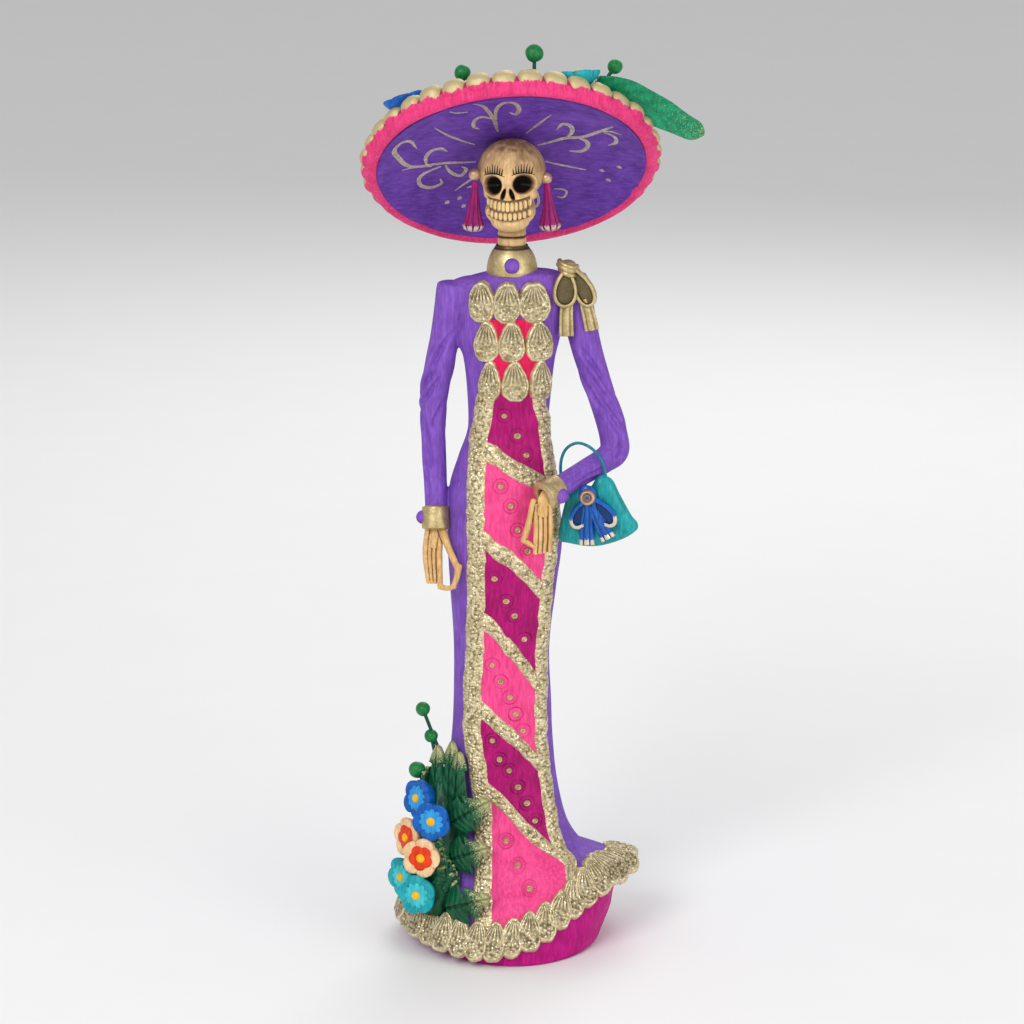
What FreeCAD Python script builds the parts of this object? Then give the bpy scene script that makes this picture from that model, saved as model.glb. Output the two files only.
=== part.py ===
"""Papier-mache catrina figure: a skeleton lady in a long gown, with a wide hat and a hanging purse.

Millimetres. +Z is up, the figure faces -Y, and the origin is the centre of the flat base on its
lowest plane. Each named piece is written to parts/NAME.step, in the order in which they go
together. Trims are bedded a little way into the paper skin under them, as they are when the paste
is wet; where a piece only rests against another, it is cut to meet it.
"""

import FreeCAD
import Part
import math
import os

V = FreeCAD.Vector

# ---------------------------------------------------------------- driving dimensions (mm)
WALL = 3.6                      # thickness of the paper skin of skirt and underskirt
BOARD_T = 5.0                   # thickness of the board inside the foot
WAIST_Z = 232.0                 # where the skirt meets the bodice
ROD_X, ROD_R, ROD_TOP_Z = 1.5, 4.0, 278.0

# (height, centre x, half width, half depth) of the gown from the floor to the shoulders
GOWN = [
    (0, 6, 56, 48), (12, 6.2, 52, 43), (24, 8, 48, 37), (34, 9.5, 44.5, 31), (42, 1.6, 33.4, 27),
    (58, -0.2, 26.8, 22.5), (75, -0.5, 24, 20), (100, -0.2, 21.8, 18), (130, -0.6, 20.8, 17.5),
    (160, 0.1, 23, 19), (182, 0.8, 25, 20.5), (204, 0.3, 23.4, 19), (218, 1, 20.2, 15.5),
    (232, 2.3, 17.2, 12.5), (246, 2.7, 18, 12.8), (262, 2.7, 19.8, 13.2), (269, 2.2, 22, 12.9),
    (278, 3.6, 23, 12.6), (292, 4.4, 24, 11.4), (295.5, 5.6, 22.4, 11), (298.5, 9, 15.5, 10.2),
]
# The underskirt below the hem, in the same terms
UNDERSKIRT = [(0, 5, 37.5, 43), (8, 4.6, 41, 43), (16, 4.2, 44, 41.5), (24, 5, 45, 38.5),
              (32, 8.5, 47, 33), (40, 11.5, 47.5, 28)]
# Height of the hem along the front at each x: lowest left of the middle, swept up into a train on
# the right. Behind the middle plane it falls towards HEM_LOW_Z at HEM_BACK_Y.
HEM = [(-75, 20), (-50, 16), (-40, 11.5), (-25, 8), (-8, 6.5), (10, 10.5), (20, 15.5), (30, 22.5),
       (42, 30), (52, 35), (80, 42)]
HEM_BACK_Y, HEM_LOW_Z = 70.0, 6.0
HEM_PETALS = 38
HEM_PETAL = (17.5, 8.2, 2.2)    # length, width and thickness of a hem petal
PETAL_RISE = 4.6                # petal centres above the hem

# The front panel: x of the centre lines of its two gold braids at each height
BRAID_LEFT = [(20, -8.2), (43, -8.2), (64, -8.4), (81, -10.6), (99, -12.6), (117, -12.4),
              (158, -11.1), (202, -11), (227, -9.9), (240, -7.6), (247, -6.4)]
BRAID_RIGHT = [(40, 29), (47.5, 23.6), (60, 20.4), (75, 17.9), (98, 15.8), (133, 16.4), (161, 18.3),
               (188, 20.8), (204, 21.2), (216, 19.4), (226, 18.2), (246, 15)]
BRAID_LEFT_W, BRAID_RIGHT_W = 7.4, 5.0
BRAID_EDGE, BRAID_MID = 1.7, 2.7     # how far a braid stands out of the gown, at edge and middle
PANEL_OUT = 1.1                      # how far a painted panel stands out of the gown
BED = 0.6                            # how deep trims are bedded into the paper
GAP = 0.12                           # between trims that lie side by side
DIAGONALS = [(223.5, 206.5), (185.5, 160.5), (149.5, 119.5), (108.5, 83.5), (72.5, 42)]
DIAGONAL_H = 7.6                     # height of a diagonal braid, measured vertically
DIAGONAL_BOW = 1.25                  # over 1, a diagonal starts flat and steepens towards its low end
PANEL_TOP_Z, PANEL_LOW_Z = 243.0, 17.0
STUDS = [(0.8, 238.4), (6.1, 229.7), (9.8, 221.4), (-0.8, 208.9), (3.4, 200.5), (6.4, 190.1),
         (10.4, 180.6), (-3.4, 168.5), (1.4, 158.3), (4.9, 151.6), (8.9, 140.5),
         (-4.4, 129.2), (-0.9, 121.9), (2.9, 114.7), (5.4, 107.0), (8.4, 99.3), (-4.4, 95.2),
         (-1.4, 86.9), (2.6, 81.9), (6.4, 74.4), (10.2, 66.9), (13.6, 58.8), (1.3, 51.4), (6.3, 41.2), (11.6, 32.4)]

BODICE_ROWS = [(287, (-8.6, 1.9, 13.4)), (270.5, (-6.6, 3.8, 15.2)), (253.5, (-5.2, 5.2, 15.6))]
BODICE_PETAL = (17.0, 9.6, 2.6)
BODICE_PANEL_TOP_Z = 279.5

# Neck and head
NECK_X = 4.0
PEG_R, PEG_FIT = 3.0, 0.05
PEG_LOW_Z, NECK_LOW_Z, NECK_TOP_Z, PEG_TOP_Z = 282.0, 299.5, 313.8, 321.0
NECK_R = 6.1
COLLAR = [(6.6, 298.5), (11.3, 298.5), (11.6, 300.5), (10.6, 305.0), (8.6, 309.3), (6.6, 309.6)]
SKULL_C, SKULL_R = V(NECK_X - 0.4, 0.5, 340.2), (14.2, 15.4, 15.0)
HEAD_YAW = -7.0                      # degrees that the face looks towards its right hand
EYE_X, EYE_Z, EYE_R = 6.3, 337.5, 4.1

# Hat, in its own frame: +Z out of the crown, -Y towards the front of the brim
HAT_C, HAT_TILT, HAT_ROLL = V(3.6, 8.0, 343.6), -42.0, -4.0
BRIM_R, BRIM_DISH, BRIM_T = 54.2, 7.0, 3.0
RIM_R, RIM_Z, RIM_HALF_W, RIM_HALF_T = 58.9, -1.5, 4.3, 4.4
CROWN_R, CROWN_H, CROWN_HOLE_R = 17.5, 21.0, 12.0
SCALLOPS, SCALLOP_R = 36, 58.4
HAT_FLOWERS = [((30.8, -48.4, 9.4), (0, -0.55, 0.85)), ((-42.4, -40.0, 9.0), (-0.25, -0.5, 0.85)),
               ((-20.0, 33.0, 11.0), (-0.2, 0.4, 1))]
HAT_FLOWER_DEPTH = 5.0
HAT_BALLS = [((13.1, -57.0, 15.0), (12.0, -49.5, 3.4), 3.7), ((-17.1, -51.1, 12.0), (-16.6, -46.0, 3.6), 3.3),
             ((46.1, -45.1, 14.0), (39.0, -41.0, 6.5), 3.1), ((20.0, 40.0, 16.0), (15.0, 34.0, 8.0), 3.3)]

# Sleeves: (x, y, z, radius) down each arm
RIGHT_ARM = [(-19.8, 0, 294.6, 4.8), (-20.4, 0, 291.4, 7), (-22.4, 0, 282, 6.9), (-24.6, 0.2, 270, 6.4),
             (-27, 0.6, 259, 6.2), (-29.2, 1.5, 246, 6), (-30.1, 2.4, 234, 5.3), (-29.7, 1.4, 222, 5.2),
             (-29.1, -1.2, 208, 5), (-28.7, -4.2, 195, 4.7)]
LEFT_ARM = [(29.6, 0, 296.6, 4.8), (30.2, 0, 292.6, 7), (32.8, 0, 279, 6.9), (36, 0, 265, 6.5),
            (40, 0, 252, 6.1), (44.4, 0, 238.5, 5.8), (47.6, -0.4, 226.6, 5.6), (48.6, -0.6, 219.8, 5.2)]
ELBOW, WRIST = V(48.8, -0.6, 219.2), V(21.4, -22.6, 208.0)
ELBOW_R, FOREARM_R, WRIST_R = 6.1, 5.4, 4.7
ARM_WIRE_R = 1.2
HAND_PIVOT, HAND_LEAN = V(-28.7, -5.2, 189.0), 21.0     # the hanging hand leans forward, clear of the hip

# Purse
PURSE_Y, PURSE_TURN = -13.9, -6.0    # its middle plane, and how it is turned about the vertical
PURSE_C = V(39.0, PURSE_Y, 194.0)
PURSE_OUTLINE = [(25.6, 184.4), (30.6, 180.6), (38, 179.4), (47, 182.6), (56.6, 189.6), (56.4, 194.4),
                 (50.6, 203), (44.6, 208), (40, 207.6), (36.6, 201.6), (33.4, 205), (29.6, 204.2),
                 (27, 197), (25, 188.6)]
PURSE_HALF_T = 5.2
HANDLE = [(28.6, -11.4, 200.5), (25.5, -10.6, 209), (24.9, -10.2, 217), (27, -10.4, 223.2),
          (31.8, -11.4, 226.2), (37.4, -12.8, 224.6), (42, -13.8, 219.6), (44, -13.8, 212.6), (44.4, -13.3, 204)]
HANDLE_R, HANDLE_PIECES = 0.8, 22
BROOCH_R = 3.2

OUT = "parts"
nodes = {}                      # name: (shape, body), in the order of assembly


# ---------------------------------------------------------------- small tools
def curve_through(rows):
    """A smooth monotone function through rows of (x, y, ...): returns f(x) -> list of values."""
    xs = [r[0] for r in rows]
    columns = []
    for k in range(1, len(rows[0])):
        ys = [r[k] for r in rows]
        h = [b - a for a, b in zip(xs, xs[1:])]
        d = [(b - a) / w for a, b, w in zip(ys, ys[1:], h)]
        m = [d[0]] + [0.0] * (len(xs) - 2) + [d[-1]]
        for i in range(1, len(xs) - 1):
            if d[i - 1] * d[i] > 0:
                a, b = 2 * h[i] + h[i - 1], h[i] + 2 * h[i - 1]
                m[i] = (a + b) / (a / d[i - 1] + b / d[i])
        columns.append((ys, h, m))

    def f(x):
        x = min(max(x, xs[0]), xs[-1])
        i = max(j for j in range(len(xs) - 1) if xs[j] <= x)
        out = []
        for ys, h, m in columns:
            t = (x - xs[i]) / h[i]
            out.append((1 + 2 * t) * (1 - t) ** 2 * ys[i] + t * (1 - t) ** 2 * h[i] * m[i]
                       + t * t * (3 - 2 * t) * ys[i + 1] + t * t * (t - 1) * h[i] * m[i + 1])
        return out
    return f


gown_at, underskirt_at = curve_through(GOWN), curve_through(UNDERSKIRT)
hem_at, left_at, right_at = curve_through(HEM), curve_through(BRAID_LEFT), curve_through(BRAID_RIGHT)


def closed_curve(points):
    """A smooth closed wire through points, with the same knots for every curve of that many points."""
    curve = Part.BSplineCurve()
    curve.interpolate(Points=points, PeriodicFlag=True, Parameters=[float(i) for i in range(len(points) + 1)])
    return Part.Wire(curve.toShape())


def ring(centre, side, up, a, b, count=12):
    """A closed elliptical wire with half axes a along side and b along up."""
    turn = [2 * math.pi * i / count for i in range(count)]
    return closed_curve([centre + side * (a * math.cos(t)) + up * (b * math.sin(t)) for t in turn])


def level_loft(stations):
    """A solid through level elliptical stations (z, centre x, half width, half depth)."""
    rings = [ring(V(c, 0, z), V(1, 0, 0), V(0, 1, 0), a, b, 16) for z, c, a, b in stations]
    return Part.makeLoft(rings, True, False)


def unit(v):
    return v * (1.0 / v.Length)


def limb(points, radii, side=None, flat=1.0):
    """A tapering rod through points. Its section is round, or flat times as thick as it is wide."""
    rings = []
    for i, p in enumerate(points):
        along = unit(points[min(i + 1, len(points) - 1)] - points[max(i - 1, 0)])
        across = side or (V(0, 1, 0) if abs(along.y) < 0.9 else V(1, 0, 0))
        across = unit(across - along * across.dot(along))
        rings.append(ring(p, across, along.cross(across), radii[i], radii[i] * flat))
    return Part.makeLoft(rings, True, False)


def bent_wire(points, radius, pieces):
    """A wire bent through the points: short straight lengths joined by round elbows."""
    curve = Part.BSplineCurve()
    curve.interpolate(points)
    line = curve.discretize(Number=pieces + 1)
    lengths = [Part.makeCylinder(radius, (b - a).Length, a, b - a) for a, b in zip(line, line[1:])]
    elbows = [Part.makeSphere(radius, p) for p in line[1:-1]]
    return lengths[0].multiFuse(lengths[1:] + elbows)


def turned(profile, x=0.0, y=0.0):
    """A solid of revolution about the vertical through (x, y), from (radius, z) points."""
    points = [V(r, 0, z) for r, z in profile]
    face = Part.Face(Part.makePolygon(points + points[:1]))
    solid = face.revolve(V(0, 0, 0), V(0, 0, 1), 360)
    solid.translate(V(x, y, 0))
    return solid


def egg(centre, radii):
    """An ellipsoid with those half axes along X, Y and Z."""
    m = FreeCAD.Matrix()
    m.scale(*radii)
    m.move(centre)
    return Part.makeSphere(1.0).transformGeometry(m)


def frame_matrix(origin, normal, down):
    """Local +Z becomes normal and local -Y becomes down, at origin."""
    z = unit(normal)
    y = unit(z * down.dot(z) - down)
    x = y.cross(z)
    return FreeCAD.Matrix(x.x, y.x, z.x, origin.x, x.y, y.y, z.y, origin.y,
                          x.z, y.z, z.z, origin.z, 0, 0, 0, 1)


def placed(shape, origin, normal, down):
    moved = shape.copy()
    moved.transformShape(frame_matrix(origin, normal, down))
    return moved


def petal(length, width, thick, bedded):
    """A drop-shaped petal, pointed at +Y and round at -Y, from z = -bedded to z = thick."""
    a, b = length / 2, width / 2
    outline = [V(0, a, 0), V(0.55 * b, 0.6 * a, 0), (V(0.95 * b, -0.1 * a, 0)), V(0.8 * b, -0.7 * a, 0),
               V(0, -a, 0), V(-0.8 * b, -0.7 * a, 0), V(-0.95 * b, -0.1 * a, 0), V(-0.55 * b, 0.6 * a, 0)]
    face = Part.Face(closed_curve(outline))
    face.translate(V(0, 0, -bedded))
    return face.extrude(V(0, 0, thick + bedded))


def patch(rows_out, rows_in):
    """A closed solid between two four-sided surfaces given as grids of points."""
    faces, sides = [], []
    for rows in (rows_out, rows_in):
        surface = Part.BSplineSurface()
        surface.interpolate(rows)
        u0, u1, v0, v1 = surface.bounds()
        faces.append(surface.toShape())
        sides.append([surface.uIso(u0).toShape(), surface.uIso(u1).toShape(),
                      surface.vIso(v0).toShape(), surface.vIso(v1).toShape()])
    faces += [Part.makeRuledSurface(a, b) for a, b in zip(*sides)]
    shell = Part.makeShell(faces)
    shell.sewShape(1e-3)
    solid = Part.makeSolid(Part.Shell(shell.Faces))
    if solid.Volume < 0:
        solid.reverse()
    return solid


def gown_point(x, z, out):
    """The point of the gown's front at x and z, pushed out of its surface."""
    centre, a, b = gown_at(z)
    q = max(-0.97, min(0.97, (x - centre) / a))
    y = -b * math.sqrt(1 - q * q)
    normal = unit(V(q / a, y / (b * b), 0))
    return V(centre + q * a, y, z) + normal * out


def front_patch(left, right, top, low, out_edge, out_mid, across=5, down=9):
    """A trim on the gown's front between two side lines x(z) and two level lines z(share)."""
    def grid(out):
        rows = []
        for j in range(down):
            row = []
            for i in range(across):
                f = i / (across - 1)
                z = top(f) + (low(f) - top(f)) * j / (down - 1)
                x = left(z) + (right(z) - left(z)) * f
                row.append(gown_point(x, z, out(f, j / (down - 1))))
            rows.append(row)
        return rows
    return patch(grid(lambda f, g: out_edge + (out_mid - out_edge) * math.sin(math.pi * f)),
                 grid(lambda f, g: -BED))


def group(shapes):
    return Part.makeCompound(shapes)


def solids_of(shape, least=0.4):
    """The solids of a shape as one compound, without crumbs."""
    return group([s for s in shape.Solids if s.Volume > least])


def add(name, shape, body="figure", cut_by=()):
    """Adds a piece, cut to meet the named earlier pieces."""
    for other in cut_by:
        for tool in nodes[other][0].Solids:
            if tool.BoundBox.intersect(shape.BoundBox):
                shape = shape.cut(tool)
    nodes[name] = (solids_of(shape), body)


# ---------------------------------------------------------------- core, skirt and bodice
def hem_height(x, y):
    return HEM_LOW_Z + (hem_at(x)[0] - HEM_LOW_Z) * (1 - max(0.0, y) / HEM_BACK_Y)


def hem_solid(above):
    """Everything above the hem surface, or everything below it."""
    def section(y, share):
        top = [V(x, y, HEM_LOW_Z + (hem_at(x)[0] - HEM_LOW_Z) * share) for x in range(-75, 81, 5)]
        curve = Part.BSplineCurve()
        curve.interpolate(Points=top, Parameters=[float(i) for i in range(len(top))])
        z = 90 if above else -30
        rest = Part.makePolygon([top[-1], V(80, y, z), V(-75, y, z), top[0]])
        return Part.Wire([curve.toShape()] + rest.Edges)
    front = Part.Face(section(-90, 1.0)).extrude(V(0, 90, 0))
    return front.fuse(Part.makeLoft([section(0, 1.0), section(HEM_BACK_Y, 0.0)], True, True))


def stations(at, heights, inset=0.0):
    return [(z, *[v - k for v, k in zip(at(z), (0, inset, inset))]) for z in heights]


def gown_shell():
    low = list(range(0, 60, 6)) + list(range(60, int(WAIST_Z), 10)) + [WAIST_Z]
    outer = level_loft(stations(gown_at, low))
    inside = [z for z in low if z <= 200]
    inner = level_loft([(-1, *stations(gown_at, [0], WALL)[0][1:])] + stations(gown_at, inside[1:], WALL))
    rod_room = Part.makeCylinder(ROD_R, WAIST_Z, V(ROD_X, 0, 1))
    return outer.cut(inner).cut(rod_room).cut(hem_solid(False))


def underskirt_shell():
    heights = [0, 5, 10, 15, 20, 25, 30, 35, 40]
    outer = level_loft(stations(underskirt_at, heights))
    inner = level_loft([(-1, *stations(underskirt_at, [0], WALL)[0][1:])]
                       + stations(underskirt_at, heights[1:-1], WALL) + [(41, 12, 43, 24)])
    return outer.cut(inner).cut(hem_solid(True))


def bodice_solid():
    heights = [232, 239, 246, 254, 262, 270, 278, 285, 292, 296, 298.5]
    return level_loft(stations(gown_at, heights))


def core():
    board = level_loft(stations(underskirt_at, [0, 2.5, BOARD_T], WALL + 0.05))
    rod = Part.makeCylinder(ROD_R, ROD_TOP_Z - 1, V(ROD_X, 0, 1))
    add("base_board", board.cut(rod))
    add("spine_rod", rod)
    add("neck_socket", turned([(PEG_R + PEG_FIT, 281.5), (5.6, 281.5), (5.6, NECK_LOW_Z),
                               (PEG_R + PEG_FIT, NECK_LOW_Z)], NECK_X))
    right = [V(-2.2, 0, 287), V(-14, 0, 290), *[V(*p[:3]) for p in RIGHT_ARM[3:]]]
    left = [V(10.2, 0, 287), V(22, 0, 288), *[V(*p[:3]) for p in LEFT_ARM[3:-1]], ELBOW]
    down = Part.makeCylinder(ARM_WIRE_R, (WRIST - ELBOW).Length, ELBOW, WRIST - ELBOW)
    upper = [limb(w, [ARM_WIRE_R] * len(w)) for w in (right, left)]
    add("arm_wires", group([upper[0], joined([upper[1], Part.makeSphere(ARM_WIRE_R + 0.2, ELBOW), down])]))


def body():
    add("gown_skirt", gown_shell())
    add("underskirt", underskirt_shell())
    peg_room = Part.makeCylinder(5.6, 20, V(NECK_X, 0, 281.5))
    rod_room = Part.makeCylinder(ROD_R, ROD_TOP_Z - 228, V(ROD_X, 0, 228))
    add("bodice", bodice_solid().cut(peg_room).cut(rod_room))
    add("collar", turned(COLLAR, NECK_X))


# ---------------------------------------------------------------- front panel and its trims
def sloping(ends, share):
    """Height at a share of the way along a line that falls from the left braid to the right one."""
    return ends[0] + (ends[1] - ends[0]) * share ** DIAGONAL_BOW


def panels():
    """Painted panels between the braids, pink and magenta by turns from the top down."""
    lines = [(PANEL_TOP_Z + 4, PANEL_TOP_Z + 4)] + DIAGONALS + [(PANEL_LOW_Z, PANEL_LOW_Z)]
    made = []
    for i, (above, below) in enumerate(zip(lines, lines[1:])):
        gap_top = 0.0 if i == 0 else DIAGONAL_H / 2 + GAP
        gap_low = 0.0 if i == len(lines) - 2 else DIAGONAL_H / 2 + GAP
        top = (lambda f, a=above, g=gap_top: sloping(a, f) - g)
        low = (lambda f, b=below, g=gap_low: sloping(b, f) + g)
        made.append(front_patch(lambda z: across_panel(z, 0), lambda z: across_panel(z, 1),
                                top, low, PANEL_OUT, PANEL_OUT))
    return made


def panel_right(z):
    """The right braid's line, carried on down to the hem below the braid's own end."""
    return right_at(z)[0] if z >= BRAID_RIGHT[0][0] else BRAID_RIGHT[0][1] + (40 - z) * 0.15


def across_panel(z, share):
    """x at a share of the way from the left braid's inner edge to the right braid's."""
    low = left_at(z)[0] + BRAID_LEFT_W / 2 + GAP
    return low + (panel_right(z) - BRAID_RIGHT_W / 2 - GAP - low) * share


def braids():
    left = front_patch(lambda z: left_at(z)[0] - BRAID_LEFT_W / 2,
                       lambda z: left_at(z)[0] + BRAID_LEFT_W / 2,
                       lambda f: PANEL_TOP_Z + 3, lambda f: PANEL_LOW_Z, BRAID_EDGE, BRAID_MID, 5, 22)
    right = front_patch(lambda z: right_at(z)[0] - BRAID_RIGHT_W / 2,
                        lambda z: right_at(z)[0] + BRAID_RIGHT_W / 2,
                        lambda f: PANEL_TOP_Z + 3, lambda f: 40.0, BRAID_EDGE, BRAID_MID, 5, 22)
    return left, right


def diagonal(ends):
    """One braid that runs down across the panel from the left braid to the right one."""
    half = DIAGONAL_H / 2

    def line(z_off):
        return lambda f: sloping(ends, f) + z_off

    def grid(out_edge, out_mid):
        rows = []
        for j in range(5):
            g = j / 4
            row = []
            for i in range(11):
                f = i / 10
                z = line(half)(f) + (line(-half)(f) - line(half)(f)) * g
                x = across_panel(z, f)
                row.append(gown_point(x, z, out_edge + (out_mid - out_edge) * math.sin(math.pi * g)))
            rows.append(row)
        return rows
    return patch(grid(BRAID_EDGE, BRAID_MID), grid(-BED, -BED))


def studs():
    """Gold dots scattered down the middle of each panel."""
    dot = Part.makeCone(1.3, 0.9, 1.3, V(0, 0, -0.4))
    made = []
    for x, z in STUDS:
        p = gown_point(x, z, PANEL_OUT)
        made.append(placed(dot, p, p - gown_point(x, z, 0), V(0, 0, -1)))
    return made


def bodice_petals():
    made = []
    for z, xs in BODICE_ROWS:
        for x in xs:
            p = gown_point(x, z, 0.6)
            made.append(placed(petal(*BODICE_PETAL, 1.2), p, p - gown_point(x, z, 0), V(0, 0, -1)))
    return made


def bodice_panel():
    return front_patch(lambda z: -6.5, lambda z: 16.0, lambda f: BODICE_PANEL_TOP_Z,
                       lambda f: PANEL_TOP_Z + 5, PANEL_OUT, PANEL_OUT, 6, 7)


def hem_point(angle, rise):
    """The point of the gown at an angle round it, rise above the hem."""
    z = 10.0
    for _ in range(30):
        centre, a, b = gown_at(z)
        x, y = centre + a * math.cos(angle), b * math.sin(angle)
        z = 0.5 * z + 0.5 * (hem_height(x, y) + rise)
    return V(x, y, z)


def hem_petals():
    """A ring of petals lapped over the hem, evenly spaced along it."""
    fine = [hem_point(2 * math.pi * i / 720, 0) for i in range(721)]
    reach = [0.0]
    for a, b in zip(fine, fine[1:]):
        reach.append(reach[-1] + (b - a).Length)
    made = []
    for k in range(HEM_PETALS):
        want = reach[-1] * (k + 0.5) / HEM_PETALS
        i = max(j for j in range(720) if reach[j] <= want)
        angle = 2 * math.pi * i / 720
        upper, lower = hem_point(angle, 12), hem_point(angle, -3)
        ahead = hem_point(angle + 0.03, 2) - hem_point(angle - 0.03, 2)
        down = unit(lower - upper)
        normal = unit(ahead.cross(down * -1))
        centre = hem_point(angle, PETAL_RISE) + normal * 1.0
        made.append(placed(petal(*HEM_PETAL, 1.6), centre, normal, down))
    return made


# ---------------------------------------------------------------- arms, cuffs and hands
def cuff(low, high, r_low, r_high, bore):
    """A gold band round a wrist, from low to high, open in the middle."""
    axis = high - low
    outer = Part.makeCone(r_low, r_high, axis.Length, low, axis)
    return outer.cut(Part.makeCylinder(bore, axis.Length + 4, low - unit(axis) * 2, axis))


def joined(shapes):
    whole = shapes[0]
    for s in shapes[1:]:
        whole = whole.fuse(s)
    return whole


def right_hand():
    """The hand on the hanging arm: three slim fingers, and a forefinger that meets the thumb."""
    palm = limb([V(-28.6, -4.9, 190), V(-28.8, -5.4, 184), V(-29.4, -5.8, 178)], [3.6, 4.3, 3.0],
                V(1, 0, 0), 0.6)
    fingers = [[V(-32.6 + 2.1 * k, -5.4, 186), V(-33.4 + 1.9 * k, -5.8, 176), V(-32 + 1.5 * k, -6, 163.5)]
               for k in range(3)]
    parts = [palm] + [limb(f, [1.1, 1.2, 1.0]) for f in fingers]
    parts.append(limb([V(-27, -5.6, 186), V(-27.4, -6.2, 176), V(-27, -6.6, 166), V(-26.6, -6.8, 162)],
                      [1.5, 1.5, 1.3, 1.3]))
    parts.append(limb([V(-27.2, -6.8, 161.8), V(-24, -7.2, 160.9), V(-20.6, -7.9, 161.6)], [1.2, 1.1, 1.1]))
    parts.append(limb([V(-26.8, -5.6, 188), V(-23.2, -8.0, 178), V(-19.4, -9.2, 169.6)], [2.2, 1.5, 1.4]))
    parts.append(limb([V(-19.0, -9.2, 170.4), V(-19.8, -9.0, 165.5), V(-21.4, -8.0, 161.2)], [1.6, 1.2, 1.1]))
    whole = joined(parts)
    whole.rotate(HAND_PIVOT, V(1, 0, 0), -HAND_LEAN)
    return whole


def left_hand():
    """The hand in front of the skirt: four fingers hang down, and the thumb bends back to them."""
    palm = limb([V(19.4, -24.8, 206.4), V(17.6, -26.6, 204), V(16.6, -27.4, 199.5)], [3.0, 3.9, 3.6],
                V(1, 0, 0), 0.55)
    parts = [palm]
    for k in range(4):
        x = 14.0 + 1.95 * k
        parts.append(limb([V(x, -27.2, 202), V(x + 0.3, -27.6, 192), V(x - 0.2, -27, 181.6 + 0.3 * k)],
                          [1.02, 0.98, 0.85]))
    parts.append(limb([V(13.2, -27, 204.5), V(11.4, -27.4, 196), V(8.8, -27.4, 187.6)], [1.3, 1.3, 1.2]))
    parts.append(limb([V(8.6, -27.4, 187.9), V(11, -27.6, 186.2), V(14, -27.6, 184.6)], [1.2, 1.0, 0.95]))
    return joined(parts)


def arms():
    forearm = unit(WRIST - ELBOW)
    add("right_sleeve", limb([V(*p[:3]) for p in RIGHT_ARM], [p[3] for p in RIGHT_ARM]), cut_by=["bodice"])
    upper = limb([V(*p[:3]) for p in LEFT_ARM], [p[3] for p in LEFT_ARM])
    add("left_sleeve", upper.fuse(Part.makeSphere(ELBOW_R, ELBOW)), cut_by=["bodice"])
    lower = Part.makeCone(FOREARM_R, WRIST_R, (WRIST - ELBOW).Length - 1.2, ELBOW, forearm)
    add("left_forearm", lower, cut_by=["left_sleeve"])
    add("right_cuff", cuff(V(-28.9, -6.8, 187.4), V(-29.0, -4.4, 196.6), 5.7, 5.5, 3.2))
    add("left_cuff", cuff(WRIST + forearm * 5.4, WRIST - forearm * 3.6, 6.6, 5.6, 3.2))
    buttons = [Part.makeSphere(2.9, V(-34.6, -5.6, 192.2)), Part.makeSphere(3.3, V(24.9, -26.4, 206.6)),
               Part.makeSphere(3.3, V(NECK_X, -10.4, 302.6))]
    add("right_hand", right_hand(), cut_by=["right_cuff"])
    add("left_hand", left_hand(), cut_by=["left_cuff"])
    add("gown_buttons", group(buttons))


# ---------------------------------------------------------------- shoulder bow
def loop(centre, length, width, band, depth, lean):
    """A ribbon loop: a drop-shaped ring, pointed at the top, depth deep from front to back."""
    def face(a, b, lift):
        pts = [V(0, 0, a + lift), V(0.62 * b, 0, 0.35 * a), V(b, 0, -0.3 * a), V(0.62 * b, 0, -0.86 * a),
               V(0, 0, -a), V(-0.62 * b, 0, -0.86 * a), V(-b, 0, -0.3 * a), V(-0.62 * b, 0, 0.35 * a)]
        return Part.Face(closed_curve(pts)).extrude(V(0, -depth, 0))
    whole = face(length / 2, width / 2, 0).cut(face(length / 2 - band, width / 2 - band, -1))
    whole.rotate(V(0, 0, 0), V(0, 1, 0), lean)
    whole.translate(centre)
    return whole


def shoulder_bow():
    knot = egg(V(29.8, -5.4, 299.8), (4.6, 4.2, 3.6))
    loops = [loop(V(27.6, -7.2, 292.6), 15.6, 8.4, 1.5, 4.6, 4),
             loop(V(35.8, -6.6, 293.2), 16, 7.4, 1.5, 4.6, -22)]
    lines = [[V(28, -8.8, 290), V(28, -9.2, 282), V(27.8, -9, 273.6)],
             [V(34.4, -8.4, 290), V(36.6, -8.8, 282), V(38.2, -8.6, 275)]]
    tails = [limb(line, [2.7, 2.8, 3.0], V(1, 0, 0), 0.42) for line in lines]
    add("shoulder_bow_knot", knot)
    add("shoulder_bow_tails", group(tails))
    add("shoulder_bow_loops", group(loops), cut_by=["shoulder_bow_tails", "shoulder_bow_knot"])


# ---------------------------------------------------------------- flowers and leaves at the foot
FOOT_FLOWERS = [                # (place, way it faces), in pairs: blue, cream, turquoise
    (V(-37.4, -18, 68.6), V(-0.75, -0.62, 0.2)), (V(-31.0, -29.5, 61.8), V(-0.35, -0.92, 0.15)),
    (V(-42.0, -21, 51.6), V(-0.8, -0.6, 0.1)), (V(-35.5, -34.0, 46.8), V(-0.35, -0.93, 0.1)),
    (V(-44.2, -25, 34.8), V(-0.75, -0.66, 0.05)), (V(-37.4, -38.6, 31.4), V(-0.4, -0.91, 0.05)),
]
FLOWER_R, FLOWER_DEPTH, FACE_R = 8.2, 9.0, 5.0
SIDE_LEAVES = [((-24, -23, 62), (-5.4, -28.2, 70.6)), ((-24, -26, 46), (-6.6, -31.4, 50.4)),
               ((-25, -33, 26), (-5.6, -41.4, 31))]
TALL_LEAVES = [((-29, -15, 48), (-27.6, -11.5, 92.6)), ((-23, -19, 48), (-21.4, -14, 94))]
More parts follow.
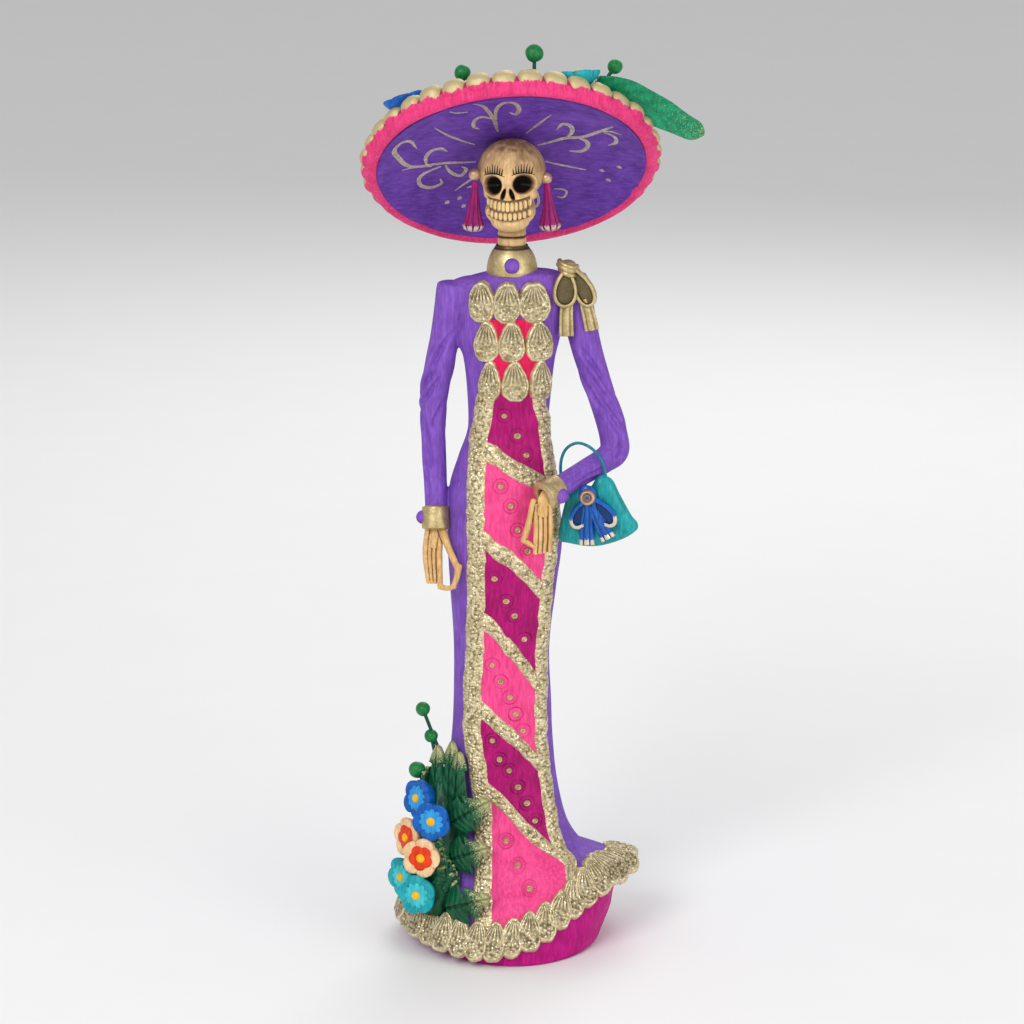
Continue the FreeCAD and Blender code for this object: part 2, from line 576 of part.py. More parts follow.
FOOT_BALLS = [((-35, -6, 105.6), (-27, -11, 86), 3.1), ((-31.4, -8, 94), (-28.4, -11, 80), 2.9),
              ((-37.6, -8, 78.4), (-31, -12, 66), 3.6)]


def cup(deep):
    """A five-lobed flower cup that opens along +Z, deep behind its front plane at z = 0."""
    def lobed(r, depth, z):
        pts = []
        for i in range(20):
            t = 2 * math.pi * i / 20
            rr = r * (1 + depth * math.cos(5 * t))
            pts.append(V(rr * math.cos(t), rr * math.sin(t), z))
        return closed_curve(pts)
    return Part.makeLoft([lobed(2.6, 0, -deep), lobed(5.6, 0.03, -0.6 * deep), lobed(7.6, 0.07, -0.2 * deep),
                          lobed(FLOWER_R, 0.09, 0)], True, False)


def flower_parts(place, facing, deep=FLOWER_DEPTH):
    """(cup, face, centre) of one flower."""
    down = V(0, 0, -1) if abs(unit(facing).z) < 0.9 else V(0, -1, 0)
    face = Part.makeCone(FACE_R, FACE_R - 0.5, 0.9)
    centre = egg(V(0, 0, 0.9), (1.9, 1.9, 1.1)).cut(Part.makeBox(8, 8, 4, V(-4, -4, -3.1)))
    return [placed(s, place, facing, down) for s in (cup(deep), face, centre)]


def leaf(base, tip, half_w, half_t, facing, bend=0.0):
    """A leaf from base to tip, broad in its lower half; bend pushes its middle along facing."""
    base, tip = V(*base), V(*tip)
    along = tip - base
    side = unit(along.cross(facing))
    shares = (0.0, 0.12, 0.3, 0.5, 0.7, 0.88, 1.0)
    widths = (0.45, 0.8, 1.0, 0.94, 0.7, 0.36, 0.08)
    points = [base + along * s + facing * (bend * math.sin(math.pi * s)) for s in shares]
    rings = [ring(p, side, unit(facing), half_w * w, half_t * (0.4 + 0.6 * w))
             for p, w in zip(points, widths)]
    return Part.makeLoft(rings, True, False)


def ball_stems(rows, move=lambda p: p):
    """(wires, balls) for rows of (ball centre, foot of the wire, ball radius)."""
    wires, balls = [], []
    for ball, foot, r in rows:
        a, b = move(V(*foot)), move(V(*ball))
        balls.append(Part.makeSphere(r, b))
        wires.append(Part.makeCylinder(0.75, (b - a).Length - r * 0.5, a, b - a))
    return group(wires), group(balls)


def bouquet():
    bed_rings = [(19, -29, -22, 9, 11), (24, -30, -23, 11, 13), (38, -29, -20.5, 11, 13),
                 (54, -27, -17, 9.5, 12), (68, -26.5, -13, 7.5, 9), (76, -27, -11.5, 4.5, 6)]
    bed = Part.makeLoft([ring(V(x, y, z), V(1, 0, 0), V(0, 1, 0), a, b) for z, x, y, a, b in bed_rings],
                        True, False)
    add("leafy_bed", bed.cut(level_loft(stations(gown_at, range(0, 86, 6)))))
    flowers = [flower_parts(*f) for f in FOOT_FLOWERS]
    for i, colour in enumerate(("blue", "cream", "turquoise")):
        add(colour + "_flower_cups", group([flowers[2 * i][0], flowers[2 * i + 1][0]]))
    for i, colour in enumerate(("sky_blue", "orange", "aqua")):
        add(colour + "_flower_faces", group([flowers[2 * i][1], flowers[2 * i + 1][1]]))
    add("flower_centres", group([f[2] for f in flowers]))
    front = V(-0.35, -0.93, 0.1)
    add("side_leaves", group([leaf(a, b, 6.4, 1.3, front, 1.5) for a, b in SIDE_LEAVES]))
    add("tall_leaves", group([leaf(a, b, 5.0, 1.4, V(-0.5, -0.85, 0.1), 1.5) for a, b in TALL_LEAVES]))
    wires, balls = ball_stems(FOOT_BALLS)
    add("foot_stem_wires", wires)
    add("foot_stem_balls", balls)


# ---------------------------------------------------------------- neck, skull and earrings
def skull_solid():
    """Cranium, face and jaw with two eye sockets, made facing -Y and then turned."""
    c = SKULL_C
    cranium = egg(c, SKULL_R)
    face_rings = [(341, 12.4, 9.0, -6.0), (334, 11.6, 9.4, -6.6), (328, 11.4, 9.4, -6.0),
                  (323, 9.6, 8.6, -5.4), (318.4, 6.0, 6.0, -4.6)]
    face = Part.makeLoft([ring(V(c.x, y, z), V(1, 0, 0), V(0, 1, 0), a, b) for z, a, b, y in face_rings],
                         True, False)
    stub = Part.makeCone(6.0, 5.6, 16, V(c.x, 0, NECK_TOP_Z + 0.3))
    whole = cranium.fuse(face).fuse(stub)
    for s in (-1, 1):
        whole = whole.cut(egg(V(c.x + s * EYE_X, -15.0, EYE_Z), (EYE_R, 5.0, EYE_R * 1.1)))
    whole = whole.cut(Part.makeCylinder(PEG_R + PEG_FIT, PEG_TOP_Z + 0.5 - 313, V(NECK_X, 0, 313)))
    whole.rotate(V(NECK_X, 0, 0), V(0, 0, 1), HEAD_YAW)
    return whole


def neck_and_head():
    add("neck_post", turned([(0, PEG_LOW_Z), (PEG_R, PEG_LOW_Z), (PEG_R, NECK_LOW_Z), (NECK_R, NECK_LOW_Z),
                             (NECK_R, NECK_TOP_Z - 1), (NECK_R - 0.7, NECK_TOP_Z), (PEG_R, NECK_TOP_Z),
                             (PEG_R, PEG_TOP_Z), (0, PEG_TOP_Z)], NECK_X), "neck")
    add("skull", skull_solid(), "head")
    add("hat_brim", hat_place(brim()), "head", cut_by=["skull"])
    add("hat_crown", hat_place(crown()), "head", cut_by=["skull"])
    add("hat_rim", hat_place(rim()), "head")
    add("hat_scallops", hat_place(scallops()), "head")
    beads = [Part.makeSphere(2.5, V(-11.7, -4.0, 340.6)), Part.makeSphere(2.5, V(18.5, -2.0, 338.7))]
    add("earring_beads", group(beads), "head")
    tassels = [limb([V(-11.8, -4.6, 339), V(-12.2, -4.8, 330), V(-12.4, -5, 322), V(-12.4, -5, 318.6)],
                    [1.7, 2.6, 3.9, 3.9], V(1, 0, 0), 0.62),
               limb([V(18.7, -2.8, 337.2), V(19.4, -3.2, 329), V(20, -3.4, 322), V(20.3, -3.4, 318.6)],
                    [1.7, 2.6, 4.2, 4.3], V(1, 0, 0), 0.62)]
    add("earring_tassels", group(tassels), "head")
    hat_trim()


# ---------------------------------------------------------------- hat
def hat_matrix():
    m = FreeCAD.Matrix()
    m.rotateX(math.radians(HAT_TILT))
    m.rotateY(math.radians(HAT_ROLL))
    m.move(HAT_C)
    return m


def hat_place(shape):
    moved = shape.copy()
    moved.transformShape(hat_matrix())
    return moved


def brim():
    """A shallow dish that opens towards the face, with a hole for the crown."""
    radii = [CROWN_HOLE_R, 22, 33, 44, BRIM_R]
    under = [V(r, 0, BRIM_DISH * (1 - (r / BRIM_R) ** 2)) for r in radii]
    low, high = Part.BSplineCurve(), Part.BSplineCurve()
    low.interpolate(under)
    high.interpolate([p + V(0, 0, BRIM_T) for p in under])
    ends = [Part.makeLine(a, a + V(0, 0, BRIM_T)) for a in (under[0], under[-1])]
    wire = Part.Wire(Part.__sortEdges__([low.toShape(), ends[1], high.toShape(), ends[0]]))
    return Part.Face(wire).revolve(V(0, 0, 0), V(0, 0, 1), 360)


def crown():
    """A hollow dome on the top side of the brim."""
    base = BRIM_DISH + 1.0

    def dome(r, h, lift):
        points = [V(r * a, 0, lift + h * b) for a, b in ((1, 0), (0.96, 0.45), (0.66, 0.86), (0, 1))]
        curve = Part.BSplineCurve()
        curve.interpolate(points)
        rest = Part.makePolygon([points[-1], V(0, 0, lift), points[0]])
        return Part.Face(Part.Wire([curve.toShape()] + rest.Edges)).revolve(V(0, 0, 0), V(0, 0, 1), 360)
    return dome(CROWN_R, CROWN_H, base).cut(dome(CROWN_R - 3, CROWN_H - 3, base - 0.01))


def rim():
    """The thick rolled edge of the brim."""
    tube = ring(V(RIM_R, 0, RIM_Z), V(1, 0, 0), V(0, 0, 1), RIM_HALF_W, RIM_HALF_T)
    return Part.Face(tube).revolve(V(0, 0, 0), V(0, 0, 1), 360)


def scallops():
    """Gold petals set side by side round the top of the rim."""
    one = egg(V(SCALLOP_R, 0, 3.0), (6.6, 4.95, 2.3))
    made = []
    for k in range(SCALLOPS):
        s = one.copy()
        s.rotate(V(0, 0, 0), V(0, 0, 1), 360.0 * k / SCALLOPS)
        made.append(s)
    return group(made)


def hat_trim():
    """Flowers, leaves and ball stems on the top of the brim."""
    m = hat_matrix()
    turn = FreeCAD.Matrix(m)
    turn.move(HAT_C * -1)
    cups, faces, centres = [], [], []
    for place, facing in HAT_FLOWERS:
        c, f, d = flower_parts(m.multVec(V(*place)), unit(turn.multVec(V(*facing))),
                               HAT_FLOWER_DEPTH)
        cups.append(c)
        faces.append(f)
        centres.append(d)
    add("hat_flower_cups", group(cups), "head")
    add("hat_flower_faces", group(faces), "head")
    add("hat_flower_centres", group(centres), "head")
    right = [(38, -43, 8.5), (49.5, -36.5, 7.6), (59.6, -27.8, 5), (70, -18.6, 3.4), (78, -12.4, 2),
             (82, -10, 1.6)]
    left = [(-40, 6, 9.0), (-50, 9, 8.6), (-58, 11, 7.4), (-64.5, 12.5, 4.4)]
    blades = [limb([m.multVec(V(*p)) for p in right], [3.4, 5.4, 5.8, 5, 4, 2.2],
                   unit(turn.multVec(V(0.55, -0.7, 0.45))), 0.36),
              limb([m.multVec(V(*p)) for p in left], [3.4, 5.2, 4.2, 1.2],
                   unit(turn.multVec(V(0.1, 1, 0))), 0.33)]
    add("hat_leaves", group(blades), "head")
    wires, balls = ball_stems(HAT_BALLS, m.multVec)
    add("hat_stem_wires", wires, "head")
    add("hat_stem_balls", balls, "head")


# ---------------------------------------------------------------- purse
def purse_turned(shape):
    moved = shape.copy()
    moved.rotate(V(34.4, PURSE_Y + 0.5, 0), V(0, 0, 1), PURSE_TURN)
    return moved


def purse():
    """A two-lobed purse with a wire handle round the forearm, a ribbon bow and a round brooch."""
    def outline(share, y):
        points = [V(PURSE_C.x + (x - PURSE_C.x) * share, y, PURSE_C.z + (z - PURSE_C.z) * share)
                  for x, z in PURSE_OUTLINE]
        return closed_curve(points)
    t = PURSE_HALF_T
    layers = [(0.72, -t), (0.9, -0.72 * t), (1.0, 0), (0.9, 0.72 * t), (0.72, t)]
    bag = Part.makeLoft([outline(s, PURSE_Y + y) for s, y in layers], True, False)
    add("purse_handle", bent_wire([V(*p) for p in HANDLE], HANDLE_R, HANDLE_PIECES), "purse")
    add("purse_bag", purse_turned(bag), "purse", cut_by=["purse_handle"])
    front = PURSE_Y - t
    brooch = Part.makeCone(BROOCH_R, BROOCH_R * 0.6, 2.4, V(35.6, front + 0.4 - 1.2, 203.4), V(0, -1, 0))
    add("purse_brooch", purse_turned(brooch), "purse")
    loops = [loop(V(30.6, front + 1.0, 193.2), 15, 8.4, 2.0, 2.6, 20),
             loop(V(43.2, front + 1.0, 193.8), 15, 9.4, 2.0, 2.6, -42)]
    tails = [limb([V(34.6, front - 0.6, 198), V(34, front - 0.8, 188), V(34.4, front - 0.6, 179.6)],
                  [1.8, 3.2, 4.0], V(1, 0, 0), 0.4),
             limb([V(37.6, front - 0.6, 197), V(41.4, front - 0.8, 189), V(45.6, front - 0.6, 182.4)],
                  [1.6, 2.8, 3.6], V(1, 0, 0.3), 0.4)]
    add("purse_bow_tails", purse_turned(group(tails)), "purse")
    add("purse_bow_loops", purse_turned(group(loops)), "purse", cut_by=["purse_bow_tails", "purse_brooch"])


# ---------------------------------------------------------------- assembly
def build():
    core()
    body()
    left, right = braids()
    add("braid_left", left)
    add("braid_right", right)
    add("braid_diagonals", group([diagonal(d) for d in DIAGONALS]))
    made = panels()
    add("magenta_panels", group(made[0::2]))
    add("pink_panels", group(made[1::2]))
    add("bodice_petals", group(bodice_petals()))
    add("bodice_panel", bodice_panel())
    add("panel_studs", group(studs()))
    add("hem_petals", group(hem_petals()))
    arms()
    shoulder_bow()
    bouquet()
    neck_and_head()
    purse()


def main():
    os.makedirs(OUT, exist_ok=True)
    for old in os.listdir(OUT):
        if old.endswith(".step"):
            os.remove(os.path.join(OUT, old))
    build()
    for name, (shape, _) in nodes.items():
        bad = [i for i, s in enumerate(shape.Solids) if not s.isValid() or s.Volume <= 0]
        if bad or not shape.Solids:
            print("bad solids in", name, bad)
        shape.exportStep(os.path.join(OUT, name + ".step"))
    print(len(nodes), "nodes,", sum(len(s.Solids) for s, _ in nodes.values()), "solids")


main()
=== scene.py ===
"""Papier-mache catrina figure: the visual model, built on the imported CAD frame. Lengths here are in
millimetres and are turned into metres when a mesh is made. The figure faces -Y."""

import itertools
import math
import bpy
import numpy as np
from mathutils import Matrix, Vector
from mathutils.bvhtree import BVHTree


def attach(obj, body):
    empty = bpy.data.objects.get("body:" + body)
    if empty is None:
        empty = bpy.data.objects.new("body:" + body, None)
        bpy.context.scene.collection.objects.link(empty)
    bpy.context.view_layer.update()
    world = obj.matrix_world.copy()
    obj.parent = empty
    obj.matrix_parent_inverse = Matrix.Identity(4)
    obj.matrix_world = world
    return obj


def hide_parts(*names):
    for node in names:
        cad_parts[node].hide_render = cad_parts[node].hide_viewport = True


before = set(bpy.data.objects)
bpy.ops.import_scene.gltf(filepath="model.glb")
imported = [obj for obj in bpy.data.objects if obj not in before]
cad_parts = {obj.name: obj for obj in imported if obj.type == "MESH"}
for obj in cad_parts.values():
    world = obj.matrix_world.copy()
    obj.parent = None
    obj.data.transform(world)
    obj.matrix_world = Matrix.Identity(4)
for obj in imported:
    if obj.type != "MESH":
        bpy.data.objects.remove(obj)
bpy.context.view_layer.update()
TAU = 2 * math.pi

# ---------------------------------------------------------------- dimensions shared with the CAD model
GOWN = [                    # z, centre x, half width, half depth
    (0, 6, 56, 48), (12, 6.2, 52, 43), (24, 8, 48, 37), (34, 9.5, 44.5, 31), (42, 1.6, 33.4, 27),
    (58, -0.2, 26.8, 22.5), (75, -0.5, 24, 20), (100, -0.2, 21.8, 18), (130, -0.6, 20.8, 17.5),
    (160, 0.1, 23, 19), (182, 0.8, 25, 20.5), (204, 0.3, 23.4, 19), (218, 1, 20.2, 15.5),
    (232, 2.3, 17.2, 12.5), (246, 2.7, 18, 12.8), (262, 2.7, 19.8, 13.2), (269, 2.2, 22, 12.9),
    (278, 3.6, 23, 12.6), (292, 4.4, 24, 11.4), (295.5, 5.6, 22.4, 11), (298.5, 9, 15.5, 10.2),
]
SHOULDER_X, SHOULDER_Z = 9.0, 298.2
# The same columns as GOWN.
UNDERSKIRT = [(0, 5, 37.5, 43), (8, 4.6, 41, 43), (16, 4.2, 44, 41.5), (24, 5, 45, 38.5),
              (32, 8.5, 47, 33), (40, 11.5, 47.5, 28)]
# x, height of the hem
HEM = [(-75, 20), (-50, 16), (-40, 11.5), (-25, 8), (-8, 6.5), (10, 10.5), (20, 15.5), (30, 22.5),
       (42, 28), (52, 30.5), (80, 32)]
HEM_BACK_Y, HEM_LOW_Z = 70.0, 6.0
# z, x of the braid's middle line
BRAID_LEFT = [(20, -8.2), (43, -8.2), (64, -8.4), (81, -10.6), (99, -12.6), (117, -12.4),
              (158, -11.1), (202, -11), (227, -9.9), (240, -7.6), (247, -6.4)]
BRAID_RIGHT = [(40, 29), (47.5, 23.6), (60, 20.4), (75, 17.9), (98, 15.8), (133, 16.4), (161, 18.3),
               (188, 20.8), (204, 21.2), (216, 19.4), (226, 18.2), (246, 15)]
BRAID_TOP = 247.5
BRAID_LEFT_W, BRAID_RIGHT_W = 7.4, 5.0
# Heights of each diagonal braid at its left and right ends
DIAGONALS = [(223.5, 206.5), (185.5, 160.5), (149.5, 119.5), (108.5, 83.5), (72.5, 42)]
DIAGONAL_H, DIAGONAL_BOW = 7.6, 1.25
# x, y, z, radius
RIGHT_ARM = [(-21.0, 0, 292.9, 6.9), (-21.2, 0, 290, 7.2), (-22.4, 0, 282, 6.9), (-24.6, 0.2, 270, 6.4),
             (-27, 0.6, 259, 6.2), (-29.2, 1.5, 246, 6), (-30.1, 2.4, 234, 5.3), (-29.7, 1.4, 222, 5.2),
             (-29.1, -1.2, 208, 5), (-28.7, -4.2, 195, 4.7)]
LEFT_ARM = [(29.2, 0, 295.5, 6.6), (30.4, 0, 291.5, 7), (32.8, 0, 279, 6.9), (36, 0, 265, 6.5),
            (40, 0, 252, 6.1), (44.4, 0, 238.5, 5.9), (47.6, -0.4, 227.5, 6.1), (48.0, -1.6, 220.6, 6.3),
            (43.5, -5.2, 217.2, 5.5), (37, -10.2, 214.4, 5.2), (29, -16.5, 211.1, 4.9),
            (22.4, -21.8, 208.4, 4.6)]
HAND_PIVOT, HAND_LEAN = (-28.7, -5.2, 189.0), 21.0
NECK_X, HEAD_YAW = 4.0, -7.0
HAT_C, HAT_TILT, HAT_ROLL = (3.6, 8.0, 343.6), -42.0, -4.0
BRIM_R, BRIM_DISH = 54.2, 7.0
LIP_R, SCALLOPS = 56.0, 36


# ---------------------------------------------------------------- numbers
def xyz(x, y, z):
    return np.stack(np.broadcast_arrays(x, y, z), -1)


def clamp(x):
    return np.clip(x, 0, 1)


def grid(u, v):
    return np.meshgrid(u, v, indexing="ij")


def circle(count):
    """count angles once round."""
    return np.linspace(0, TAU, count, endpoint=False)


def bell(x, middle, width):
    return np.exp(-((x - middle) / width) ** 2)


def bent(x, power):
    """x raised to a power, with its sign kept."""
    return np.sign(x) * np.abs(x) ** power


def curve_through(rows):
    """A smooth monotone curve through rows of (x, y, ...): f(x) gives one array per column."""
    table = np.array(rows, float)
    x, cols = table[:, 0], table[:, 1:].T
    h = np.diff(x)

    def slopes(y):
        d = np.diff(y) / h
        m = np.concatenate([d[:1], np.zeros(len(x) - 2), d[-1:]])
        for i in range(1, len(x) - 1):
            if d[i - 1] * d[i] > 0:
                a, b = 2 * h[i] + h[i - 1], h[i] + 2 * h[i - 1]
                m[i] = (a + b) / (a / d[i - 1] + b / d[i])
        return m
    ms = [slopes(y) for y in cols]

    def f(q):
        q = np.clip(np.asarray(q, float), x[0], x[-1])
        i = np.clip(np.searchsorted(x, q, "right") - 1, 0, len(h) - 1)
        t, w = (q - x[i]) / h[i], h[i]
        return [(1 + 2 * t) * (1 - t) ** 2 * y[i] + t * (1 - t) ** 2 * w * m[i] + t * t * (3 - 2 * t)
                * y[i + 1] + t * t * (t - 1) * w * m[i + 1] for y, m in zip(cols, ms)]
    return f


gown_at, under_at, hem_curve = curve_through(GOWN), curve_through(UNDERSKIRT), curve_through(HEM)
left_curve, right_curve = curve_through(BRAID_LEFT), curve_through(BRAID_RIGHT)


def hem_at(x, y):
    """Height of the hem, which falls towards the floor behind the middle plane."""
    return HEM_LOW_Z + (hem_curve(x)[0] - HEM_LOW_Z) * (1 - np.maximum(y, 0) / HEM_BACK_Y)


def sloping(ends, share):
    """Height along a diagonal braid's middle line."""
    return ends[0] + (ends[1] - ends[0]) * share ** DIAGONAL_BOW


def left_at(z):
    return left_curve(z)[0]


def right_at(z):
    z = np.asarray(z, float)
    return np.where(z >= 40, right_curve(z)[0], 29 + (40 - z) * 0.15)


def across_panel(z, share, grow=0.0):
    low = left_at(z) + BRAID_LEFT_W / 2 - grow
    return low + (right_at(z) - BRAID_RIGHT_W / 2 + grow - low) * share


def unit(v):
    return v / np.maximum(np.linalg.norm(v, axis=-1, keepdims=True), 1e-9)


def front(x, z, out=0.0):
    """(points, normals) on the front of the gown, out from its surface."""
    c, a, b = gown_at(z)
    q = np.clip((x - c) / a, -0.97, 0.97)
    y = -b * np.sqrt(1 - q * q)
    n = unit(xyz(q / a, y / (b * b), 0))
    p = xyz(c + q * a, y, z)
    return p + n * np.asarray(out)[..., None], n


def chance(cell, seed):
    """A fixed number from 0 to 1 for each cell (..., 3)."""
    n = np.sin(cell @ np.array([127.1, 311.7, 74.7]) + seed * 53.37) * 43758.5453
    return n - np.floor(n)


def noise(p, size, seed=0):
    """Smooth noise from -1 to 1 at points p (..., 3), with bumps about size across."""
    q = np.asarray(p, float) / size
    base = np.floor(q)
    t = q - base
    t = t * t * (3 - 2 * t)
    total = np.zeros(q.shape[:-1])
    for corner in itertools.product((0, 1), repeat=3):
        c = np.array(corner)
        total += np.prod(np.where(c == 1, t, 1 - t), -1) * chance(base + c, seed)
    return 2 * total - 1


def cobbles(u, v, size, seed=0):
    """Rounded bumps from 0 to 1 that lie side by side on the surface (u, v)."""
    q = np.stack([u / size, v / size], -1)
    base = np.floor(q)
    height = np.zeros(q.shape[:-1])
    for off in itertools.product((-1, 0, 1), repeat=2):
        cell = base + np.array(off)
        key = np.concatenate([cell, 0 * cell[..., :1]], -1)
        centre = cell + 0.5 + 0.42 * (2 * np.stack([chance(key, seed + 1), chance(key, seed + 2)], -1) - 1)
        reach = 0.46 + 0.26 * chance(key, seed + 3)
        d = np.linalg.norm(q - centre, axis=-1) / reach
        height = np.maximum(height, np.sqrt(clamp(1 - d * d)) * (0.55 + 0.45 * chance(key, seed + 4)))
    return height


def smooth_line(points, count):
    """count rows along a smooth curve through rows of numbers (Catmull-Rom)."""
    p = np.array(points, float)
    p = np.vstack([2 * p[0] - p[1], p, 2 * p[-1] - p[-2]])
    s = np.linspace(0, len(p) - 3 - 1e-9, count)
    i = np.floor(s).astype(int)
    t = (s - i)[:, None]
    a, b, c, d = p[i], p[i + 1], p[i + 2], p[i + 3]
    return 0.5 * (2 * b + (c - a) * t + (2 * a - 5 * b + 4 * c - d) * t ** 2 + (3 * b - a - 3 * c + d)
                  * t ** 3)


# ---------------------------------------------------------------- meshes
def grid_faces(rows, cols, wrap_rows=False, wrap_cols=False):
    r = np.arange(rows if wrap_rows else rows - 1)
    c = np.arange(cols if wrap_cols else cols - 1)
    rr, cc = grid(r, c)
    r2, c2 = (rr + 1) % rows, (cc + 1) % cols
    return np.stack([rr * cols + cc, rr * cols + c2, r2 * cols + c2, r2 * cols + cc], -1).reshape(-1, 4)


def capped_faces(rows, cols):
    """Faces of a tube of rows rings, closed at both ends."""
    last = (rows - 1) * cols
    return grid_faces(rows, cols, wrap_cols=True).tolist() + [list(range(cols))[::-1],
                                                              list(range(last, last + cols))]


class Shape:
    """Vertices (mm), faces and named values per vertex; shapes add up."""

    def __init__(self, verts, faces, **values):
        self.v = np.asarray(verts, float).reshape(-1, 3)
        self.f = [tuple(map(int, f)) for f in faces]
        self.values = {k: np.broadcast_to(np.asarray(w, float).ravel(), len(self.v))
                       for k, w in values.items()}

    def __add__(self, other):
        keys = set(self.values) | set(other.values)
        n = len(self.v)
        both = {k: np.concatenate([s.values.get(k, np.zeros(len(s.v))) for s in (self, other)])
                for k in keys}
        return Shape(np.vstack([self.v, other.v]), self.f + [tuple(i + n for i in f) for f in other.f],
                     **both)

    def moved(self, matrix):
        m = np.array(matrix)
        out = Shape(self.v @ m[:3, :3].T + m[:3, 3], self.f)
        out.values = self.values
        return out


def total(shapes):
    shapes = list(shapes)
    out = shapes[0]
    for s in shapes[1:]:
        out = out + s
    return out


def tube(points, radii, segments=16, flat=1.0, side=(0, 1, 0), bulge=None, cap=0.6):
    """A closed tube along rows of points with rounded ends. flat squashes it across side; bulge(s, angle)
    adds to the radius."""
    p = np.array(points, float)
    r = np.broadcast_to(np.asarray(radii, float), len(p)).copy()
    along = unit(np.gradient(p, axis=0))
    ends = []
    for k, sign in ((0, -1), (-1, 1)):
        ends.append([(p[k] + along[k] * sign * s * r[k] * cap, r[k] * math.sqrt(1 - s ** 2), along[k])
                     for s in (0.35, 0.7, 0.92)[::sign]])
    p = np.vstack([[e[0] for e in ends[0]], p, [e[0] for e in ends[1]]])
    r = np.concatenate([[e[1] for e in ends[0]], r, [e[1] for e in ends[1]]])
    along = np.vstack([[e[2] for e in ends[0]], along, [e[2] for e in ends[1]]])
    side = np.array(side, float)
    across = unit(side - along * (along @ side)[:, None])
    other = np.cross(along, across)
    a = circle(segments)
    s = np.concatenate([[0], np.cumsum(np.linalg.norm(np.diff(p, axis=0), axis=1))])
    rr = r[:, None] + (bulge(s[:, None], a[None, :]) * (r / r.max())[:, None] if bulge else 0)
    v = p[:, None, :] + across[:, None, :] * (rr * np.cos(a) * flat)[..., None] + other[:, None,
        :] * (rr * np.sin(a))[..., None]
    share = (s / s[-1])[:, None] + 0 * a
    return Shape(v, capped_faces(len(p), segments), share=share)


def ball(centre, radii, detail=3, lumps=0.0, size=2.0, seed=0):
    """A rounded lump."""
    n = 8 * detail
    t, a = grid(np.linspace(0, math.pi, n), circle(2 * n))
    d = xyz(np.sin(t) * np.cos(a), np.sin(t) * np.sin(a), np.cos(t)).reshape(-1, 3)
    v = d * np.array(radii, float)
    v = v * (1 + lumps * noise(v + 50, size, seed))[:, None] + np.array(centre, float)
    return Shape(v, grid_faces(n, 2 * n, wrap_cols=True))


def lathe(profile, segments=96, wobble=0.0, seed=0):
    """A turned closed ring from (radius, z) rows that run once round its section."""
    pr = np.array(profile, float)
    a = circle(segments)
    r, z = pr[:, :1] + 0 * a, pr[:, 1:] + 0 * a
    v = xyz(r * np.cos(a), r * np.sin(a), z)
    if wobble:
        lift = wobble * noise(v, 5.0, seed)
        v[..., 0] += lift * np.cos(a)
        v[..., 1] += lift * np.sin(a)
    return Shape(v, grid_faces(len(pr), segments, wrap_rows=True, wrap_cols=True))


def round_profile(points, count):
    """A smooth closed section through (radius, z) corners."""
    p = np.array(points, float)
    n = len(p)
    s = np.linspace(0, n, count, endpoint=False)
    i = np.floor(s).astype(int)
    t = (s - i)[:, None]
    a, b, c, d = (p[(i + k) % n] for k in (-1, 0, 1, 2))
    return 0.5 * (2 * b + (c - a) * t + (2 * a - 5 * b + 4 * c - d) * t ** 2 + (3 * b - a - 3 * c + d)
                  * t ** 3)


def frame_matrix(origin, normal, down):
    """Local +Z is normal and local -Y is down, at origin."""
    z = unit(np.array(normal, float))
    d = np.array(down, float)
    y = unit(z * (z @ d) - d)
    m = np.eye(4)
    m[:3, 0], m[:3, 1], m[:3, 2], m[:3, 3] = np.cross(y, z), y, z, origin
    return m


def piece(name, shape, material, body, nodes=(), remesh=None, smooth=0):
    """Makes the object, lets it ride on its body and stand for its CAD nodes."""
    mesh = bpy.data.meshes.new(name)
    mesh.from_pydata((shape.v * 0.001).tolist(), [], shape.f)
    obj = bpy.data.objects.new(name, mesh)
    bpy.context.scene.collection.objects.link(obj)
    if remesh:
        mod = obj.modifiers.new("skin", "REMESH")
        mod.mode, mod.voxel_size, mod.use_smooth_shade = "VOXEL", remesh * 0.001, True
    if smooth:
        mod = obj.modifiers.new("soft", "SMOOTH")
        mod.factor, mod.iterations = 0.5, smooth
    if remesh or smooth:
        done = bpy.data.meshes.new_from_object(obj.evaluated_get(bpy.context.evaluated_depsgraph_get()))
        obj.modifiers.clear()
        obj.data = mesh = done
    for poly in mesh.polygons:
        poly.use_smooth = True
    if not remesh:
        for key, values in shape.values.items():
            mesh.attributes.new(key, "FLOAT", "POINT").data.foreach_set("value", values.astype(np.float32))
    mesh.materials.clear()
    mesh.materials.append(material)
    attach(obj, body)
    if nodes:
        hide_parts(*nodes)
    return obj


def read(rows, key, width=3, kind=np.float32):
    """A mesh's numbers, as rows of width."""
    out = np.empty(len(rows) * width, kind)
    rows.foreach_get(key, out)
    return out.reshape(-1, width)


def solids(node):
    """The separate solids of a CAD node, each as an array of its vertices in mm."""
    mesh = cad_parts[node].data
    v = read(mesh.vertices, "co").astype(float) * 1000
    same = np.unique(np.round(v, 3), axis=0, return_inverse=True)[1].ravel()
    e = same[read(mesh.edges, "vertices", 2, np.int32)]
    label = np.arange(same.max() + 1)
    while True:
        low = np.minimum(label[e[:, 0]], label[e[:, 1]])
        new = label.copy()
        np.minimum.at(new, e[:, 0], low)
        np.minimum.at(new, e[:, 1], low)
        new = new[new]
        if (new == label).all():
            break
        label = new
    label = label[same]
    return [v[label == k] for k in np.unique(label)]


def middle(v):
    return (v.min(0) + v.max(0)) / 2


